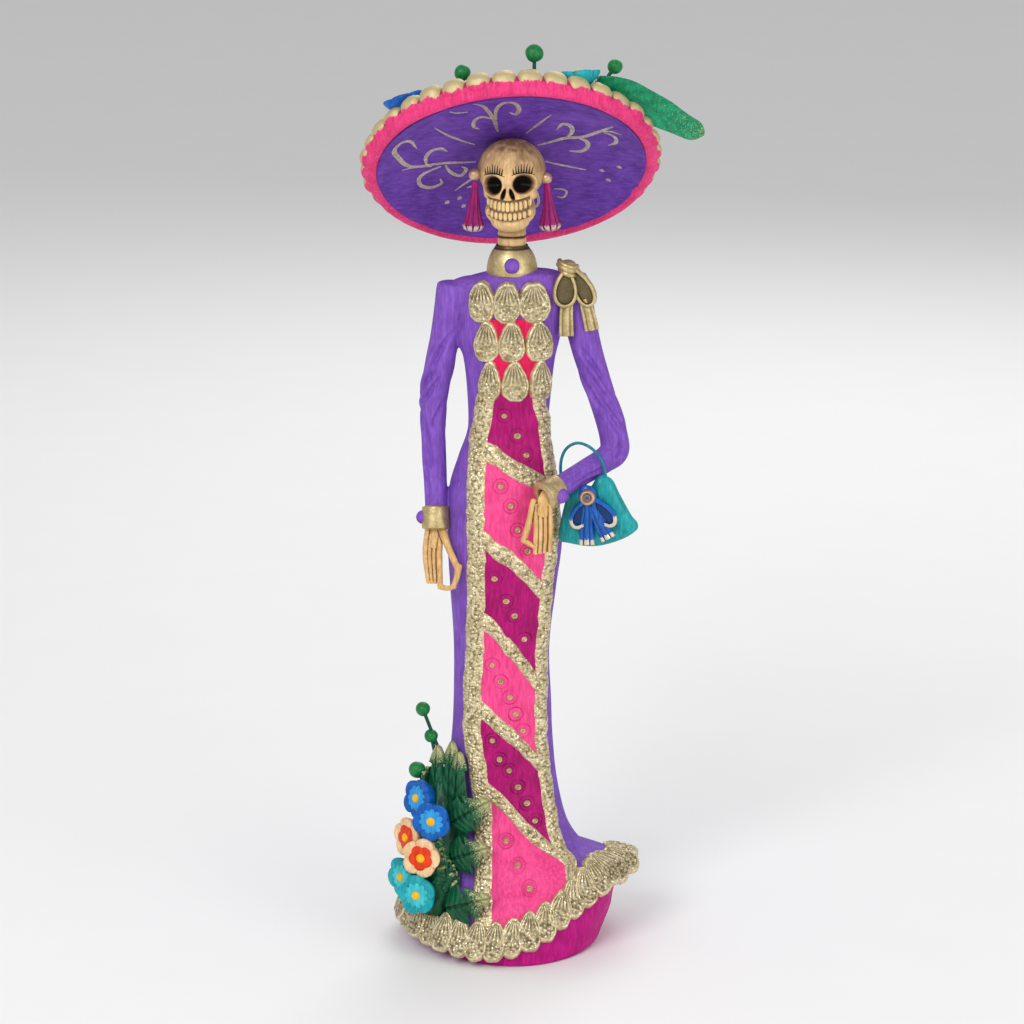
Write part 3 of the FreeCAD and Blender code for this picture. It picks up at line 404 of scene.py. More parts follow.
# ---------------------------------------------------------------- materials
class Tree:
    """A material whose nodes are added one call at a time."""

    def __init__(self, name):
        self.mat = bpy.data.materials.new(name)
        self.mat.use_nodes = True
        self.nodes, self.links = self.mat.node_tree.nodes, self.mat.node_tree.links
        self.out = next(n for n in self.nodes if n.type == "BSDF_PRINCIPLED")
        self.coords = self.nodes.new("ShaderNodeTexCoord").outputs["Object"]

    def set(self, sockets, key, value):
        if isinstance(value, bpy.types.NodeSocket):
            self.links.new(value, sockets[key])
        elif value is not None:
            if isinstance(value, tuple) and len(value) == 3 and len(sockets[key].default_value) == 4:
                value = (*value, 1.0)
            sockets[key].default_value = value

    def node(self, kind, inputs=None, **props):
        n = self.nodes.new("ShaderNode" + kind)
        for k, v in props.items():
            setattr(n, k, v)
        for k, v in (inputs or {}).items():
            self.set(n.inputs, k, v)
        return n

    def noise(self, size, stretch=(1, 1, 1), detail=3.0, rough=0.55):
        """Noise from 0 to 1 with features about size mm across."""
        at = self.node("Mapping", {"Vector": self.coords, "Scale": stretch}).outputs[0]
        return self.node("TexNoise",
                         {"Vector": at, "Scale": 1000.0 / size, "Detail": detail,
                          "Roughness": rough}).outputs[0]

    def ramp(self, value, low, high):
        return self.node("MapRange", {"Value": value, "From Min": low, "From Max": high}).outputs[0]

    def mix(self, share, a, b):
        n = self.node("Mix", data_type="RGBA", blend_type="MIX", clamp_factor=True)
        self.set(n.inputs, 0, share)
        ends = [s for s in n.inputs if s.type == "RGBA"]
        self.set(ends, 0, a)
        self.set(ends, 1, b)
        return next(s for s in n.outputs if s.type == "RGBA")

    def value(self, key):
        return self.node("Attribute", attribute_name=key).outputs["Fac"]

    def maths(self, op, a, b=None):
        return self.node("Math", {0: a, 1: b}, operation=op).outputs[0]

    def bumps(self, rows):
        """Stacks bumps: rows of (height socket, strength, distance in mm)."""
        normal = None
        for height, strength, distance in rows:
            normal = self.node("Bump",
                               {"Height": height, "Strength": strength, "Distance": distance * 0.001,
                                "Normal": normal}).outputs[0]
        self.set(self.out.inputs, "Normal", normal)

    def finish(self, colour, roughness, **sockets):
        self.set(self.out.inputs, "Base Color", colour)
        self.set(self.out.inputs, "Roughness", roughness)
        for k, v in sockets.items():
            self.set(self.out.inputs, k.replace("_", " "), v)
        return self.mat


def paint(name, light, dark, rough=0.62, stretch=(1, 1, 0.16), mottle=9.0, brush=0.5, deep=None, tip=None,
          tip_metal=0.7, coat=0.0, wear=None):
    """Hand-brushed paint: two tones mottled together, brush streaks, fine paper grain, and where the mesh
    says so painted shade in hollows and grooves (on the skull and teeth also brown painted lines) and a
    second colour (tip)."""
    t = Tree(name)
    blotch = t.ramp(t.noise(mottle, detail=4.0), 0.32, 0.68)
    streak = t.noise(1.1, stretch, 4.0, 0.6)
    colour = t.mix(blotch, light, dark)
    colour = t.mix(t.ramp(streak, 0.5, 0.8), colour, tuple(min(1.0, c * 1.25 + 0.012) for c in light))
    colour = t.mix(t.maths("MULTIPLY", t.ramp(streak, 0.5, 0.24), 0.6), colour, tuple(c * 0.6 for c in dark))
    if wear:
        specks = t.ramp(t.noise(0.9, detail=2.0), 0.71, 0.76)
        colour = t.mix(specks, colour, wear)
    # Painted shade: a per-vertex value darkens the colour towards a shade colour in hollows, creases and
    # grooves; on the skull and teeth it also carries brown painted lines.
    if deep:
        colour = t.mix(t.value("deep"), colour, deep)
    metal = 0.0
    roughness = t.node("MapRange",
                       {"Value": blotch, "To Min": rough - 0.07, "To Max": rough + 0.09}).outputs[0]
    if tip:
        grain = t.noise(0.5, detail=3.0)
        edge = t.ramp(t.maths("ADD", t.value("tip"),
                              t.maths("MULTIPLY", t.maths("SUBTRACT", grain, 0.5), 1.3)), 0.42, 0.56)
        colour = t.mix(edge, colour, tip)
        metal = t.maths("MULTIPLY", edge, tip_metal)
    t.bumps([(t.noise(0.45, detail=4.0), 0.35, 0.12), (streak, brush, 0.16),
             (t.noise(5.0, detail=2.0), 0.3, 0.5)])
    return t.finish(colour, roughness, Metallic=metal, Coat_Weight=coat * 0.6, Specular_IOR_Level=0.22)


# The first colour is painted shade for the hollows of gilt relief, the second the colour of painted glints
# (highlights).
GOLD_HOLLOW_SHADE, GLINT = (0.045, 0.030, 0.012), (0.95, 0.86, 0.62)


def gilt(name, light=(0.80, 0.68, 0.42), dark=(0.36, 0.27, 0.12), rough=0.32, glitter=1.0, metal=0.62,
         grain=0.5):
    """Antique gold paint over relief, with painted shade in the hollows and painted glints."""
    t = Tree(name)
    blotch = t.ramp(t.noise(4.0, detail=4.0), 0.3, 0.7)
    colour = t.mix(blotch, light, dark)
    cells = t.node("TexVoronoi", {"Vector": t.coords, "Scale": 1000.0 / 0.55})
    # Painted glints: random cells of the gold turn near-white, standing in for sparkle highlights.
    glint = t.ramp(t.node("SeparateColor", {"Color": cells.outputs["Color"]}).outputs[0], 0.74, 0.92)
    glint = t.maths("MULTIPLY", glint, glitter)
    colour = t.mix(glint, colour, GLINT)
    speck = t.ramp(t.node("SeparateColor", {"Color": cells.outputs["Color"]}).outputs[1], 0.80, 0.95)
    colour = t.mix(t.maths("MULTIPLY", speck, 0.55 * glitter), colour, dark)
    # painted shade: the gold turns near-black brown where the mesh marks hollows
    colour = t.mix(t.value("deep"), colour, GOLD_HOLLOW_SHADE)
    roughness = t.maths("SUBTRACT", rough + 0.08, t.maths("MULTIPLY", glint, 0.2))
    t.bumps([(t.noise(0.5, detail=4.0), grain, 0.16), (t.noise(2.4, detail=2.0), 0.35, 0.4)])
    return t.finish(colour, roughness, Metallic=metal)


VIOLET = paint("violet_paint", (0.215, 0.085, 0.475), (0.165, 0.062, 0.385), rough=0.66, brush=0.45)
MAGENTA = paint("magenta_paint", (0.52, 0.0, 0.215), (0.38, 0.0, 0.15), rough=0.6, deep=(0.07, 0.0, 0.03))
DEEP_MAGENTA = paint("deep_magenta_paint", (0.42, 0.0, 0.15), (0.30, 0.0, 0.10), rough=0.6,
                     deep=(0.07, 0.0, 0.03))
PINK = paint("pink_paint", (0.86, 0.07, 0.27), (0.74, 0.045, 0.20), rough=0.6, deep=(0.34, 0.004, 0.07))
RIM_PINK = paint("rim_pink_paint", (0.78, 0.045, 0.20), (0.64, 0.028, 0.15), rough=0.58,
                 deep=(0.16, 0.004, 0.03), tip=(0.60, 0.49, 0.27), tip_metal=0.6)
CRIMSON = paint("crimson_paint", (0.72, 0.004, 0.09), (0.55, 0.002, 0.06), rough=0.5)
HAT_PURPLE = paint("hat_purple_paint", (0.15, 0.048, 0.38), (0.10, 0.030, 0.28), rough=0.62,
                   stretch=(0.25, 0.25, 1), wear=(0.045, 0.012, 0.11))
GOLD = gilt("gold_paint")
GOLD_BRAID = gilt("gold_glitter_paint", rough=0.36, metal=0.55)
GOLD_SMOOTH = gilt("smooth_gold_paint", light=(0.62, 0.50, 0.26), dark=(0.42, 0.31, 0.13), glitter=0.25,
                   rough=0.38, metal=0.75, grain=0.25)
SCROLL_GOLD = gilt("painted_scroll_gold", light=(0.50, 0.42, 0.33), dark=(0.36, 0.28, 0.26), glitter=0.5,
                   rough=0.42, metal=0.45, grain=0.2)
BONE = paint("bone_paint", (0.76, 0.52, 0.245), (0.66, 0.42, 0.18), rough=0.48, stretch=(1, 1, 0.12),
             mottle=5.0, brush=0.3, deep=(0.085, 0.03, 0.012), coat=0.08, tip=(0.005, 0.004, 0.003),
             tip_metal=0.0)
HAND_BONE = paint("hand_bone_paint", (0.72, 0.45, 0.18), (0.58, 0.33, 0.12), rough=0.5, stretch=(1, 1, 0.12),
                  mottle=5.0, brush=0.3, deep=(0.085, 0.03, 0.012), coat=0.08)
TOOTH = paint("tooth_paint", (0.78, 0.57, 0.29), (0.68, 0.46, 0.21), rough=0.4, brush=0.15,
              deep=(0.10, 0.04, 0.015), coat=0.2)
TEAL = paint("teal_paint", (0.006, 0.36, 0.36), (0.004, 0.22, 0.24), rough=0.36, brush=0.2, coat=0.25,
             deep=(0.0, 0.05, 0.07))
BLUE_BOW = paint("blue_bow_paint", (0.006, 0.13, 0.52), (0.003, 0.055, 0.26), rough=0.32, brush=0.2,
                 coat=0.3, tip=(0.70, 0.62, 0.46), deep=(0.0, 0.012, 0.06))
TASSEL = paint("tassel_paint", (0.30, 0.0, 0.145), (0.19, 0.0, 0.085), rough=0.45, brush=0.2, coat=0.25,
               tip=(0.62, 0.50, 0.42), deep=(0.06, 0.0, 0.02))
COPPER = gilt("copper_paint", light=(0.62, 0.42, 0.26), dark=(0.38, 0.20, 0.12), glitter=0.2, rough=0.36,
              metal=0.6, grain=0.2)
LEAF = paint("leaf_paint", (0.004, 0.115, 0.045), (0.002, 0.06, 0.024), rough=0.42, brush=0.3, coat=0.15,
             tip=(0.40, 0.40, 0.19), tip_metal=0.4, deep=(0.001, 0.02, 0.008))
HAT_LEAF = paint("hat_leaf_paint", (0.002, 0.29, 0.13), (0.001, 0.18, 0.075), rough=0.4, brush=0.3,
                 coat=0.15, tip=(0.50, 0.50, 0.22), tip_metal=0.5, deep=(0.001, 0.05, 0.02))
BALL_GREEN = paint("ball_green_paint", (0.01, 0.21, 0.05), (0.004, 0.12, 0.03), rough=0.4, brush=0.2,
                   coat=0.15)
STEM_GREEN = paint("stem_green_paint", (0.002, 0.075, 0.045), (0.001, 0.045, 0.03), rough=0.4, brush=0.2)
BLUE = paint("blue_paint", (0.003, 0.13, 0.52), (0.002, 0.075, 0.34), rough=0.4, brush=0.3, coat=0.15,
             deep=(0.0, 0.02, 0.11))
SKY = paint("sky_paint", (0.03, 0.33, 0.72), (0.02, 0.24, 0.58), rough=0.42, brush=0.3)
CREAM = paint("cream_paint", (0.86, 0.60, 0.34), (0.74, 0.46, 0.23), rough=0.45, brush=0.3,
              deep=(0.35, 0.17, 0.06))
ORANGE = paint("orange_paint", (0.78, 0.055, 0.008), (0.60, 0.025, 0.004), rough=0.42, brush=0.3)
TURQUOISE = paint("turquoise_paint", (0.008, 0.40, 0.44), (0.004, 0.27, 0.32), rough=0.4, brush=0.3,
                  coat=0.15, deep=(0.0, 0.07, 0.10))
AQUA = paint("aqua_paint", (0.06, 0.56, 0.60), (0.035, 0.43, 0.48), rough=0.42, brush=0.3)
YELLOW = paint("yellow_paint", (0.88, 0.50, 0.008), (0.78, 0.36, 0.004), rough=0.42, brush=0.2)
LASH = paint("lash_paint", (0.008, 0.008, 0.012), (0.004, 0.004, 0.006), rough=0.5, brush=0.1)
TEAL_WIRE = paint("teal_wire_paint", (0.005, 0.22, 0.30), (0.003, 0.14, 0.20), rough=0.34, brush=0.1,
                  coat=0.2)
BOARD = paint("board_paper", (0.52, 0.38, 0.24), (0.42, 0.30, 0.18), rough=0.8, stretch=(1, 1, 1))


# ---------------------------------------------------------------- gown
def beads(node, lumps, size, seed=0, grow=1.0):
    """A rounded lump for each solid of a CAD node."""
    return total(ball(middle(v), np.ptp(v, 0) / 2 * grow, 2, lumps, size, seed + k)
                 for k, v in enumerate(solids(node)))


def hem_ring(angle, at=gown_at):
    """Height of the hem at each angle round the gown."""
    z = np.full_like(angle, 10.0)
    for _ in range(40):
        c, a, b = at(z)
        z = 0.5 * z + 0.5 * hem_at(c + a * np.cos(angle), b * np.sin(angle))
    return z


def creases(folds, depth=2.1, width=0.17):
    """Folds pressed into a sleeve, from rows of (distance along it, angle round it, half length, slope)."""
    def f(s, a):
        out = 0 * (s + a)
        for s0, a0, half, slope in folds:
            along = (s - s0) / half
            fade = clamp(1.05 - along ** 2)
            gap = (a - a0 - slope * along + math.pi) % TAU - math.pi
            out = out - depth * np.exp(-(gap / (width * (1.2 - 0.6 * np.abs(along)))) ** 2) * fade
            out = out + 0.4 * depth * np.exp(-((gap - 1.9 * width) / (1.2 * width)) ** 2) * fade
        return out
    return f


RIGHT_FOLDS = [(30, 3.35, 9, 0.5), (38, 3.7, 10, 0.6), (44, 3.9, 9, 0.7), (49, 3.6, 9, 0.8),
               (53, 4.2, 7, 0.8),
               (66, 3.9, 9, -0.35), (76, 3.5, 14, -0.2), (84, 3.9, 12, -0.2), (60, 2.9, 8, 0.5),
               (40, 5.4, 10, 0.5), (52, 0.4, 9, 0.6), (62, 1.1, 9, -0.5), (74, 0.2, 11, -0.3),
               (34, 0.9, 9, 0.5)]
LEFT_FOLDS = [(38, 3.1, 9, -0.5), (46, 2.6, 12, -0.5), (54, 3.0, 12, -0.5), (60, 2.5, 10, -0.4),
              (66, 2.9, 9, -0.4),
              (78, 2.8, 8, 0.3), (98, 2.4, 9, 0.1), (100, 2.9, 12, 0), (104, 3.4, 12, 0.1),
              (50, 3.9, 9, -0.5),
              (44, 5.6, 10, -0.5), (56, 0.3, 11, -0.5), (64, 1.2, 9, -0.4), (100, 0.4, 11, 0.1),
              (102, 5.4, 10, 0)]


def sleeve(rows, folds):
    line = smooth_line(rows, 150)
    return tube(line[:, :3], line[:, 3], 72, bulge=creases(folds), cap=0.25)


def gown():
    """Gown, bodice and both sleeves as one painted skin."""
    cols = 200
    a = circle(cols)
    low = hem_ring(a)
    shares = np.linspace(0, 1, 230)[:, None]
    z = low + (SHOULDER_Z - low) * shares
    c, hw, hd = gown_at(z)
    v = xyz(c + hw * np.cos(a), hd * np.sin(a), z)
    out = unit(xyz(np.cos(a) / hw, np.sin(a) / hd, 0))
    v = v + out * (0.22 * noise(v, 16, 3) + 0.10 * noise(v * [1, 1, 0.25], 4, 5))[..., None]
    folds = 0.5 * np.sin(7 * a + 0.6 * np.sin(z / 18)) * clamp((95 - z) / 70) * (np.sin(a) > -0.35)
    v = v + out * folds[..., None]
    axis = np.array([SHOULDER_X, 0, 0])
    crown = [(v[-1] - axis) * [k, k, 0] + axis + [0, 0, SHOULDER_Z + dz]
             for k, dz in ((0.86, 0.7), (0.6, 1.2), (0.3, 1.4))]
    v = np.concatenate([v, np.stack(crown)], 0)
    shoulders = ball((-11.5, 0, 289.5), (13.5, 8.6, 7.4), 4) + ball((22, 0, 290.5), (10, 8.6, 7.6), 4)
    skin = Shape(v, capped_faces(len(v), cols)) + shoulders + sleeve(RIGHT_ARM,
                                                                     RIGHT_FOLDS) + sleeve(LEFT_ARM,
                                                                         LEFT_FOLDS)
    piece("gown_skin", skin, VIOLET, "figure",
          ["gown_skirt", "bodice", "right_sleeve", "left_sleeve", "left_forearm"],
          remesh=0.52, smooth=1)


def underskirt():
    cols = 220
    a = circle(cols)
    top = hem_ring(a, under_at) + 1.0
    rows = []
    for k in np.linspace(0, 1, 34):
        z = top * k
        c, hw, hd = under_at(z)
        p = xyz(c + hw * np.cos(a), hd * np.sin(a), z)
        n = unit(xyz(np.cos(a) / hw, np.sin(a) / hd, 0))
        edge = 0.8 * max(0.0, 1 - k * 22) ** 2
        rows.append(p + n * (0.35 * noise(p, 12, 8) * min(1, k * 6) - edge)[:, None])
    for k in (1.0, 0.5, 0.0):
        z = top * k
        c, hw, hd = under_at(z)
        rows.append(xyz(c + (hw - 3.4) * np.cos(a), (hd - 3.4) * np.sin(a), z))
    v = np.stack(rows)
    piece("underskirt_wall", Shape(v, grid_faces(len(rows), cols, True, True)), MAGENTA, "figure",
          ["underskirt"])


# ---------------------------------------------------------------- trims on the front
def sheet_patch(x, z, out, **values):
    """A patch over the gown's front from grids of x, z and height, with its rim turned in."""
    p, _n = front(x, z, out)
    q, _n = front(x, z, -0.9)
    v = np.empty((p.shape[0] + 2, p.shape[1] + 2, 3))
    v[1:-1, 1:-1] = p
    v[0, 1:-1], v[-1, 1:-1], v[1:-1, 0], v[1:-1, -1] = q[0], q[-1], q[:, 0], q[:, -1]
    v[0, 0], v[0, -1], v[-1, 0], v[-1, -1] = q[0, 0], q[0, -1], q[-1, 0], q[-1, -1]
    padded = {k: np.pad(w, 1, mode="edge").ravel() for k, w in values.items()}
    return Shape(v, [f[::-1] for f in grid_faces(v.shape[0], v.shape[1]).tolist()], **padded)


def braid_relief(u, v, share, seed, size=1.35):
    """(height, painted shade) of a lumpy braid: share runs from 0 to 1 across it."""
    big = cobbles(u, v, size, seed)
    small = cobbles(u + 3.3, v, 0.55 * size, seed + 9)
    edge = np.sin(math.pi * clamp(share)) ** 0.35
    height = 0.35 + 1.25 * edge + 0.62 * big * edge + 0.25 * small
    # the second value is painted shade: darkest in the gaps between lumps, fading out at the braid's edges
    return height, np.clip(0.80 - 1.6 * big - 0.4 * small, 0, 0.9) * clamp(edge * 1.3 - 0.3)


def upright_braid(name, centre, width, low, high, seed, node):
    rows, cols = int((high - low) / 0.24), int(width / 0.2)
    z, s = grid(np.linspace(high, low, rows), np.linspace(0, 1, cols))
    wave = 0.45 * noise(xyz(z, 0, seed), 3.4, seed)
    side = (s - 0.5) * (width + 0.5 + wave * 2 * np.sign(0.5 - s)) + 0.25 * noise(xyz(z, 0, 0), 9, seed + 2)
    x = centre(z) + side
    height, dark = braid_relief(side, z, s, seed)
    piece(name, sheet_patch(x, z, height, deep=dark), GOLD_BRAID, "figure", [node])


def diagonal_braids():
    shapes = []
    for k, (za, zb) in enumerate(DIAGONALS):
        length = math.hypot(24, za - zb)
        f, g = grid(np.linspace(0, 1, int(length / 0.24)), np.linspace(0, 1, 36))
        wave = 0.5 * noise(xyz(f * length, 0, k), 3.2, k + 40)
        wide = DIAGONAL_H + 1.2 + wave * 2 * np.sign(g - 0.5)
        z = sloping((za, zb), f) + (0.5 - g) * wide + 0.7 * noise(xyz(f * length, 0, 0), 8, k + 50)
        x = across_panel(z, f, 1.2)
        height, dark = braid_relief(x, z, g, 60 + 7 * k, 1.7)
        shapes.append(sheet_patch(x, z, height, deep=dark))
    piece("braid_diagonal_relief", total(shapes), GOLD_BRAID, "figure", ["braid_diagonals"])


STUDS = [[(0.8, 238.4), (6.1, 229.7), (9.8, 221.4)],
         [(-0.8, 208.9), (3.4, 200.5), (6.4, 190.1), (10.4, 180.6)],
         [(-3.4, 168.5), (1.4, 158.3), (4.9, 151.6), (8.9, 140.5)],
         [(-4.4, 129.2), (-0.9, 121.9), (2.9, 114.7), (5.4, 107.0), (8.4, 99.3)],
         [(-4.4, 95.2), (-1.4, 86.9), (2.6, 81.9), (6.4, 74.4), (10.2, 66.9), (13.6, 58.8)],
         [(1.3, 51.4), (6.3, 41.2), (11.6, 32.4)]]


def panels():
    """Painted panels with pressed rings round their studs; the rings and ticks get painted shade."""
    lines = [(BRAID_TOP, BRAID_TOP)] + DIAGONALS + [(16.0, 16.0)]
    colours = {0: [], 1: []}
    for k, (above, below) in enumerate(zip(lines, lines[1:])):
        tall = abs(above[0] - below[0])
        g, f = grid(np.linspace(0, 1, int(tall / 0.24)), np.linspace(0, 1, 120))
        top = sloping(above, f) - (0 if k == 0 else 2.4)
        low = np.maximum(sloping(below, f),
                         hem_at(across_panel(sloping(below, f), f), 0) + 5) if k == 5 else sloping(below,
                             f) + 2.4
        z = top + (low - top) * g
        x = across_panel(z, f, 0.9)
        out = 0.95 + 0.10 * noise(xyz(x, z, 0), 7, k)
        dark = np.zeros_like(out)
        for i, (sx, sz) in enumerate(STUDS[k]):
            d = np.hypot(x - sx, z - sz)
            wide = 3.1 if k < 5 else 3.3
            rings = [(wide, 1.0)] + ([(wide - 1.35, 0.8)] if k in (1, 4, 5) else [])
            angle = np.arctan2(z - sz, x - sx)
            for r0, strength in rings:
                # painted shade in each pressed ring
                gap = bell(d, r0, 0.24) * strength * (0.55 + 0.45 * noise(xyz(x, z, i), 3.0, 9))
                out = out - 0.5 * gap
                dark = np.maximum(dark, 0.9 * gap)
            if k == 5:
                # painted shade in the pressed ticks
                ticks = (np.cos(angle * 14) > 0.55) * bell(d, 2.5, 0.55)
                out = out - 0.22 * ticks
                dark = np.maximum(dark, 0.5 * ticks)
        colours[k % 2].append(sheet_patch(x, z, out, deep=clamp(dark)))
    piece("magenta_panel_skin", total(colours[0]), DEEP_MAGENTA, "figure", ["magenta_panels"])
    piece("pink_panel_skin", total(colours[1]), PINK, "figure", ["pink_panels"])
    z, x = grid(np.linspace(280, 246, 70), np.linspace(-6.5, 16.6, 60))
    piece("bodice_panel_skin", sheet_patch(x, z, 0.8 + 0.1 * noise(xyz(x, z, 0), 6, 2)), CRIMSON, "figure",
          ["bodice_panel"])


def studs():
    shapes = []
    for k, (x, z) in enumerate(s for row in STUDS for s in row):
        ring = lathe(round_profile([(0.25, 0.05), (0.5, 0.42), (0.95, 0.78), (1.3, 0.42), (1.42, -0.4),
                                    (0.3, -0.4)], 22), 26, 0.16, k)
        dot = ball((0, 0, 0.18), (0.5, 0.5, 0.42), 1)
        p, n = front(np.array(x), np.array(z), 0.8)
        shapes.append((ring + dot).moved(frame_matrix(p, n, (0, 0, -1))
                                         @ np.diag([1 + 0.12 * math.sin(k), 0.9, 1, 1])))
    piece("stud_dots", total(shapes), GOLD_SMOOTH, "figure", ["panel_studs"])


def petal(length, width, thick, seed, beads, point=0.45):
    """A pressed petal, narrower at +Y: ribs run down from the tip to beads (or pits) in the round end."""
    rings, segments = 34, 96
    s, t = grid(np.linspace(0, 1, rings), circle(segments))
    r = np.random.default_rng(seed)
    reach = s * (1 + 0.018 * np.sin(5 * t + 6 * r.random()) + 0.012 * np.sin(11 * t + 6 * r.random()))
    y = 0.5 * length * np.cos(t) * reach
    tall = (np.cos(t) + 1) / 2
    x = 0.5 * width * bent(np.sin(t), 0.78) * (1 - point * tall ** 1.7) * reach
    tip_gap = 0.5 * length - y + 0.8
    fan = np.arctan2(x, tip_gap)
    lower = clamp((0.10 - y / length) / 0.2)
    inner = clamp((0.86 - s) / 0.08)
    ribs = 0.5 + 0.5 * np.cos(fan * 34 + 0.7 * noise(xyz(x, y, seed), 3, seed))
    dots = cobbles(x + 40, y, 1.45, seed)
    dome = 0.42 * thick * np.sqrt(clamp(1 - s ** 2))
    border = 0.50 * bell(s, 0.87, 0.085)
    relief = inner * ((1 - lower) * 0.42 * ribs + lower * (0.5 * dots if beads else 0.45 * (1 - dots) + 0.1))
    edge = np.where(s > 0.955, (s - 0.955) / 0.045, 0)
    z = (0.42 * thick + dome + border + relief) * (1 - edge) - edge * 1.2
    # painted shade: dark between the ribs, in the gaps round the beads (in the pits where there are no
    # beads) and in a thin line inside the raised border
    dark = inner * ((1 - lower) * (1 - ribs) * 0.75 + lower * ((1 - dots) if beads else dots ** 2) * 0.8)
    dark = np.maximum(dark, 0.5 * bell(s, 0.80, 0.03))
    v = xyz(x, y, z + 0.12 * noise(xyz(x, y, z + seed), 1.6, 3))
    return Shape(v, grid_faces(rings, segments, wrap_cols=True)[:, ::-1], deep=np.clip(dark, 0, 0.9))


def axes_of(v, up_hint, out_hint):
    """(centre, along, normal, sizes) of a flat solid, with along and normal on their hints' sides."""
    c = v.mean(0)
    _w, axes = np.linalg.eigh(np.cov((v - c).T))
    along, normal = axes[:, 2], axes[:, 0]
    along = along * np.sign(along @ np.array(up_hint, float) or 1)
    normal = normal * np.sign(normal @ np.array(out_hint, float) or 1)
    spread = (v - c) @ xyz(along, np.cross(along, normal), normal)
    mid = c + xyz(along, np.cross(along, normal), normal) @ ((spread.max(0) + spread.min(0)) / 2)
    return mid, along, normal, spread.max(0) - spread.min(0)


TRAIN_X = 44.0       # hem petals beyond this lie flat on top of the train
TRAIN_PETALS = [((35.3, -15, 35.3), (47.6, -21, 28.2), (0.35, -0.75, 0.6)),
                ((38.8, -6.5, 38.0), (55.6, -13.5, 30.7), (0.3, -0.6, 0.75)),
                ((44, 3, 36.6), (60.3, -2.5, 31.2), (0.25, -0.4, 0.9)),
                ((44, 12, 36.4), (60.5, 9, 32.6), (0.2, 0, 1))]
BODICE_WIDTHS = (12.8, 13.2, 15.2, 13.0, 13.4, 14.6, 12.0, 13.8, 13.0)


def petals():
    for name, node, thick, beads in (("bodice_petal_relief", "bodice_petals", 1.9, False),
                                     ("hem_petal_relief", "hem_petals", 2.0, True)):
        shapes = []
        for k, v in enumerate(sorted(solids(node), key=lambda q: (-round(middle(q)[2] / 8), middle(q)[0]))):
            c = middle(v)
            mid, along, normal, size = axes_of(v, (0, 0, 1), (c[0] - 2, c[1], 6.0 if beads else 0.0))
            turn = (0.08 if beads else 0.07) * math.sin(k * 2.3)
            along = unit(along * math.cos(turn) + np.cross(along, normal) * math.sin(turn))
            base = mid - normal * (size[2] / 2 - (0.9 if beads else 0.7)) + normal * 0.3 * math.sin(k * 1.7)
            wide = size[1] * 1.5 if beads else BODICE_WIDTHS[k]
            one = petal(size[0] * (1.04 if beads else 1.09), wide, thick, k + 3, beads, 0.42
                        if beads else (0.22, 0.45, 0.5)[k // 3])
            one.v[:, 2] += 0.75 * (one.v[:, 1] / size[0] + 0.5)     # tips lie over the row above
            if beads and base[0] > TRAIN_X and -30 < base[1] < 14:
                continue
            if beads and base[0] > 28 and base[1] >= 14:            # the far side of the train hangs lower
                base = base + normal * 0.8 - np.array([0, 0, 4.5])
            shapes.append(one.moved(frame_matrix(base, normal, -along)))
        for k, (top, end, normal) in enumerate(TRAIN_PETALS if beads else []):
            top, end = np.array(top), np.array(end)
            one = petal(np.linalg.norm(end - top), 13.4, 2.6, k + 60, True, 0.4)
            shapes.append(one.moved(frame_matrix((top + end) / 2, normal, end - top)))
        piece(name, total(shapes), GOLD_BRAID if beads else GOLD, "figure", [node])


# ---------------------------------------------------------------- collar, cuffs, hands
def collar():
    shape = lathe(round_profile([(6.5, 297.6), (10.2, 297.4), (10.9, 298.9), (10.8, 301), (10.1, 304),
                                 (8.9, 306.8), (7.7, 308.6), (7.2, 309.2), (6.6, 309.3)], 64), 110, 0.16, 2)
    shape.v[:, 0] += NECK_X
    # painted shade along the collar's top inner edge, where the neck goes in
    shape.values["deep"] = np.clip((shape.v[:, 2] - 308.3) / 0.5, 0, 0.9)
    piece("collar_band", shape, GOLD_SMOOTH, "figure", ["collar"])


def cuff_shape(low, high, r_low, r_high):
    low, high = np.array(low, float), np.array(high, float)
    h = np.linalg.norm(high - low)
    mid = (r_low + r_high) / 2 + 0.1
    shape = lathe(round_profile([(3.3, 0.1), (r_low - 0.4, -0.05), (r_low + 0.15, 0.7), (mid, h / 2),
                                 (r_high + 0.1, h - 0.6), (r_high - 0.5, h), (3.3, h - 0.1)], 44), 72, 0.22,
                  int(h * 10))
    z = unit(high - low)
    return shape.moved(frame_matrix(low, z, (0, -1, 0.2)))


def cuffs():
    piece("cuff_right_band", cuff_shape((-28.9, -6.8, 187.4), (-29, -4.4, 196.6), 5.9, 5.7), GOLD_SMOOTH,
          "figure", ["right_cuff"])
    wrist, elbow = np.array([21.4, -22.6, 208.0]), np.array([48.8, -0.6, 219.2])
    way = unit(wrist - elbow)
    piece("cuff_left_band", cuff_shape(wrist + way * 5.4, wrist - way * 3.6, 6.6, 5.6), GOLD_SMOOTH,
          "figure", ["left_cuff"])
    piece("button_beads", beads("gown_buttons", 0.05, 2.5), VIOLET, "figure", ["gown_buttons"])


def bone_rod(points, radii, count, seed):
    """A finger: a rod with slightly swollen joints and shallow lengthwise facets."""
    rows = smooth_line([(*p, r) for p, r in zip(points, radii)], count)

    def bulge(s, a):
        return 0.10 * np.cos(3 * a + seed) + 0.07 * np.sin(s * 0.7 + seed) * np.cos(a)
    return tube(rows[:, :3], rows[:, 3], 20, bulge=bulge)


